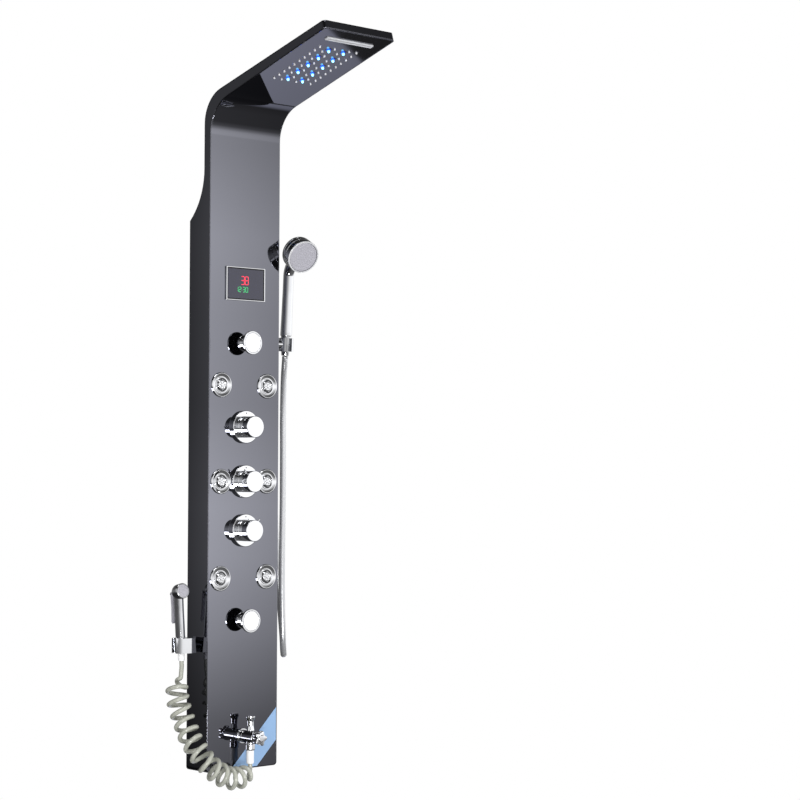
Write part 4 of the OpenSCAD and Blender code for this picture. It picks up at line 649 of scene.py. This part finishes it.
def digits(text, x, h, wide, tall, thick):
    def build(shape):
        left = x
        for mark in text:
            if mark == ":":
                for share in (0.3, 0.7):
                    bmesh.ops.create_cube(
                        shape, size=1, matrix=on_front(left, h + tall * share, glass_face)
                        @ Matrix.Diagonal((thick * MM, thick * MM, bar_depth * MM, 1)))
                left += thick * 2.4
                continue
            for bar in segments[mark]:
                across, rise, upright = bars[bar]
                spot = on_front(left + across * wide, h + rise * tall, glass_face)
                size = (thick, tall / 2 - thick * 0.6) if upright else (wide - thick * 0.6, thick)
                bmesh.ops.create_cube(shape, size=1, matrix=spot @ Matrix.Diagonal(
                    (size[0] * MM, size[1] * MM, bar_depth * MM, 1)))
            left += wide + thick * 1.9
    return build


# Light-emitting bars, set just proud of the glass that they would shine through: an even red
# and a dimmer green, without shading.
red_light = glowing("red display light", "#e0324a", 0.9)
green_light = glowing("green display light", "#35b46a", 0.6)
place("display_temperature", digits("38", x=-13, h=1092, wide=8.6, tall=18, thick=1.5), red_light,
      "panel")
place("display_clock", digits("12:30", x=-28, h=1075, wide=6, tall=11, thick=1.2), green_light,
      "panel")

# Rain head: a white silicone mat whose nubs come through the sheet, ten blue lights between the
# nub rows, each a domed lens on a ring, and a satin chrome lip for the waterfall near the tip.
head_lean, bend_radius, bend_height = radians(17), 80, 1426
head_root = Vector((0, -sheet_depth - bend_radius + bend_radius * sin(head_lean),
                    bend_height - HANG + bend_radius * cos(head_lean)))
nub_first, nub_pitch, light_side = 112.5, 17.9, 20.8
# Moulded silicone: soft matt white, so that each nub is a clear dot on the dark sheet.
silicone = textured("white moulded silicone", {"Base Color": linear("#f2f2f6")}, 2, (0.4, 0.55),
                    0.06)
dress(silicone, "nozzle_mat")


def on_head(x, along):
    spot = head_root + along * Vector((0, -cos(head_lean), sin(head_lean))) + Vector((x, 0, 0))
    return Matrix.Translation(spot * MM) @ Matrix.Rotation(radians(180) - head_lean, 4, "X")


# Clear lens over a blue diode: nearly white where the light leaves it and deep blue at its foot.
light_tip = glowing("pale blue light in the lens", "#7fd0ff", 3.2)
light_foot = glowing("blue light at the lens foot", "#1f58ff", 2.6)
lights = [on_head(x, nub_first + (2 * k + 0.5) * nub_pitch) for x in (-light_side, light_side)
          for k in range(5)]
lens_foot = [(0, 2.4, 0), (3.4, 2.4, 0.8), (3.4, 0, 0), (0, 0, 0)]
lens_tip = [(0, 7, 0), (2.7, 7, 2.5), (2.7, 2, 0), (0, 2, 0)]
place("light_lens_feet", several(*[turned(lens_foot, spot, 24) for spot in lights]),
      light_foot, "panel", ["led_lenses"])
place("light_lens_tips", several(*[turned(lens_tip, spot, 24) for spot in lights]),
      light_tip, "panel")
# Painted light: a frosted metal ring under each lens with blue glow painted into it as emission,
# brightest at the lens and gone at its rim.
painted_glow_ring, tree, surface = material("painted blue glow on frosted ring", {
    "Metallic": 1.0, "Base Color": linear("#6b6c78"), "Roughness": 0.12,
    "Emission Color": linear("#2450ff")})
painted_glow_fade = add(tree, "Attribute", {"attribute_name": "painted_glow"})
painted_glow_patch_size, painted_glow_reach = 2.5, 8
painted_glow_patches = add(tree, "TexNoise", {"Scale": 1 / (painted_glow_patch_size * MM)},
            {"Vector": add(tree, "TexCoord").outputs["Object"]})
uneven = add(tree, "MapRange", {"To Min": 1.6, "To Max": 2.4}, {"Value": painted_glow_patches.outputs["Fac"]})
painted_glow_strength = add(tree, "Math", {"operation": "MULTIPLY"},
            {0: painted_glow_fade.outputs["Fac"], 1: uneven.outputs["Result"]})
tree.links.new(painted_glow_strength.outputs["Value"], surface.inputs["Emission Strength"])
ring_corners = [(0, 0, 0)] + [(r, 0.3 - 0.03 * r, 0) for r in (8.4, 7, 6, 5, 4, 3)] + [(0, 0.3, 0)]
rings = place("painted_lens_glow_rings", several(*[turned(ring_corners, spot, 32) for spot in lights]),
              painted_glow_ring, "panel")
# Painted light: how strongly the blue glow is painted at each point of the rings.
painted_glow = rings.data.attributes.new("painted_glow", "FLOAT", "POINT")
for vertex in rings.data.vertices:
    reach = min((spot.inverted() @ vertex.co).xy.length for spot in lights) / MM
    painted_glow.data[vertex.index].value = max(0.0, 1 - reach / painted_glow_reach) ** 2
waterfall_along = 311
place("waterfall_lip",
      window(on_head(0, waterfall_along), wide=131, tall=11, rim=4, low=-1, high=3, edge=0.9),
      satin_rim, "panel", ["waterfall_spout"])

# Band across the lower right corner of the front: a strip of plain pale blue vinyl film, stuck on
# the sheet and cut off at its edges.
film_thick, film_lift = 0.13, 0.02
# Vinyl film: one flat pale blue with a faint waxy sheen, against the mirror round it.
blue_film = textured("pale blue vinyl film", {"Base Color": linear("#86a6cb")}, 16.7, (0.25, 0.45),
                     0.03)


def corner_band(shape):
    outline = [(-31, 2.8), (42.5, 2.8), (97.8, 57.5), (97.8, 131.5)]
    face = shape.faces.new([shape.verts.new((x, -sheet_depth - film_lift - film_thick, h - HANG))
                            for x, h in outline])
    film = bmesh.ops.extrude_face_region(shape, geom=[face])
    moved = [v for v in film["geom"] if isinstance(v, bmesh.types.BMVert)]
    bmesh.ops.translate(shape, verts=moved, vec=(0, film_thick, 0))
    bmesh.ops.transform(shape, matrix=Matrix.Scale(MM, 4), verts=shape.verts)


place("corner_film_band", corner_band, blue_film, "panel")

# Works behind the sheet: cast brass manifold and nuts, drawn copper pipes, black, white and grey
# plastic housings, zinc plated brackets and bars, and the lights' green circuit boards.

# Cast brass, machined and left bare: warm yellow, blurred a little by its tool marks.
cast_brass = textured("machined brass", {"Metallic": 1.0, "Base Color": linear("#c9a868")}, 4.5,
                      (0.28, 0.42), 0.06)
# Drawn copper: reddish, with long soft highlights along the pipes.
drawn_copper = textured("drawn copper tube", {"Metallic": 1.0, "Base Color": linear("#b87350")},
                        7.1, (0.22, 0.38), 0.04)
# Black ABS from an etched mould: nearly black, with a dull sheen.
black_abs = textured("black moulded ABS", {"Base Color": linear("#1b1b1d")}, 1.25, (0.38, 0.52),
                     0.1)
# Zinc plate on steel: a cool grey with cloudy patches.
zinc_steel = textured("zinc plated steel", {"Metallic": 1.0, "Base Color": linear("#b9bcc0")}, 11.1,
                      (0.3, 0.5), 0.08)
# Solder mask on a glass fibre board: deep green and slightly shiny.
board_green = textured("green circuit board", {"Base Color": linear("#1f5a35")}, 2.5, (0.3, 0.5),
                       0.05)
dress(cast_brass, "valve_manifold", "union_nuts", "upper_spindle", "middle_spindle",
      "lower_spindle")
dress(drawn_copper, "riser_pipes", "jet_supply_pipes")
dress(black_abs, "turbine_generator", "display_module", "jet_nuts")
dress(white_abs, "valve_cartridges", "check_valves")
dress(pale_grey, "rain_chamber", "waterfall_chamber")
dress(zinc_steel, "upper_wall_bracket", "lower_wall_bracket", "hang_bars")
dress(board_green, "led_strips")

# World. The camera sees plain white. The pieces see a studio that is brightest in front on the
# right at eye level, dim behind, to the left, high up and low down, with a pale patch of floor
# behind on the right, across which a dark board lies.
world = bpy.data.worlds.new("studio")
scene.world = world
world.use_nodes = True
tree = world.node_tree
tree.nodes.clear()
direction = add(tree, "TexCoord")


def toward(aim, low, high):
    made = add(tree, "VectorMath", {"operation": "DOT_PRODUCT", 1: aim},
               {0: direction.outputs["Generated"]})
    return add(tree, "MapRange", {"From Min": low, "From Max": high, "interpolation_type":
                                  "SMOOTHSTEP"}, {"Value": made.outputs["Value"]}).outputs["Result"]


heading = add(tree, "VectorMath", {"operation": "DOT_PRODUCT", 1: (0.68, -0.73, 0)},
              {0: direction.outputs["Generated"]})
share = add(tree, "MapRange", {"From Min": -1.0, "From Max": 1.0},
            {"Value": heading.outputs["Value"]})
around_tones = ((0, 0.145), (0.3, 0.18), (0.55, 0.42), (0.8, 0.95), (1, 1))
around = add(tree, "ValToRGB", None, {"Fac": share.outputs["Result"]},
             [(position, (tone, tone, tone, 1)) for position, tone in around_tones])
parts = add(tree, "SeparateXYZ", None, {"Vector": direction.outputs["Generated"]})
low_z, high_z = -0.4, 1.0
rise = add(tree, "MapRange", {"From Min": low_z, "From Max": high_z}, {"Value": parts.outputs["Z"]})
height_tones = ((low_z, 0.1), (-0.25, 0.2), (-0.2, 0.35), (-0.12, 0.6), (-0.05, 0.9), (0, 1), (0.1, 1),
                (0.16, 0.85), (0.24, 0.6), (0.4, 0.3), (0.5, 0.08), (high_z, 0.07))
height = add(tree, "ValToRGB", None, {"Fac": rise.outputs["Result"]},
             [((z - low_z) / (high_z - low_z), (tone, tone, tone, 1)) for z, tone in height_tones])
studio = add(tree, "Math", {"operation": "MULTIPLY"},
             {0: around.outputs["Color"], 1: height.outputs["Color"]})
patch = toward((0.63, 0.52, -0.577), 0.9, 0.985)
board = add(tree, "Math", {"operation": "MULTIPLY"},
            {0: toward((0.424, -0.8626, -0.2752), -0.0008, 0.0008),
             1: toward((-0.424, 0.8626, 0.2752), -0.06, -0.058)})
bare = add(tree, "Math", {"operation": "SUBTRACT", 0: 1.0}, {1: board.outputs["Value"]})
shown = add(tree, "Math", {"operation": "MULTIPLY"}, {0: patch, 1: bare.outputs["Value"]})
lit = add(tree, "VectorMath", {"operation": "SCALE", 0: (0.36, 0.37, 0.45)},
          {"Scale": shown.outputs["Value"]})
level = add(tree, "VectorMath", {"operation": "ADD"},
            {0: studio.outputs["Value"], 1: lit.outputs["Vector"]})
bright = add(tree, "Background", {"Strength": 1.45}, {"Color": level.outputs["Vector"]})
white = add(tree, "Background", {"Strength": 1.0, "Color": (1, 1, 1, 1)})
rays = add(tree, "LightPath")
both = add(tree, "MixShader", None, {"Fac": rays.outputs["Is Camera Ray"]})
tree.links.new(bright.outputs["Background"], both.inputs[1])
tree.links.new(white.outputs["Background"], both.inputs[2])
add(tree, "OutputWorld", None, {"Surface": both.outputs["Shader"]})


# Soft boxes: a large one on the left, a small one low in front and one overhead show in the
# chrome and in the sheet. The two in front on the left and on the right only light the plastics,
# and their own shapes are kept out of the mirrors.
def soft_box(name, spot, aim, size, power, mirrored):
    lamp = bpy.data.lights.new(name, "AREA")
    lamp.shape = "RECTANGLE"
    lamp.size, lamp.size_y = size
    lamp.energy = power
    holder = bpy.data.objects.new(name, lamp)
    spot, aim = Vector(spot), Vector(aim)
    holder.matrix_world = (Matrix.Translation(spot)
                           @ (aim - spot).to_track_quat("-Z", "Y").to_matrix().to_4x4())
    holder.visible_glossy = mirrored
    scene.collection.objects.link(holder)


soft_box("left_box", (-3.4, -0.4, 0.2), (0, -0.05, -0.5), (2.4, 2.8), 22, True)
soft_box("left_fill", (-3.6, -2.2, 0.6), (0, -0.1, -0.4), (1.5, 2.6), 55, False)
soft_box("low_box", (-1.5, -2.6, -1.7), (0, -0.4, 0.35), (0.8, 0.8), 45, True)
soft_box("right_box", (2.2, -3.2, 0.8), (0, -0.1, -0.4), (1.6, 2.6), 70, False)
soft_box("top_box", (-0.6, -1.8, 3.2), (0, -0.1, -0.4), (2.4, 1.2), 50, True)

# Floor, far below the hanging column: it throws soft light up at it. The camera looks through
# the floor at the white world, so that the column also shows from below.
floor_size, floor_height = 20, -2.05
floor_mesh = bpy.data.meshes.new("floor")
shape = bmesh.new()
bmesh.ops.create_grid(shape, x_segments=1, y_segments=1, size=floor_size,
                      matrix=Matrix.Translation((0, 0, floor_height)))
shape.to_mesh(floor_mesh)
shape.free()
floor = bpy.data.objects.new("floor", floor_mesh)
# Matt floor paint: pale, even and without gloss.
floor_mesh.materials.append(textured("pale floor", {"Base Color": linear("#f3f3f3")}, 333,
                                     (0.85, 0.95)))
floor.visible_glossy = False
floor.visible_camera = False
scene.collection.objects.link(floor)
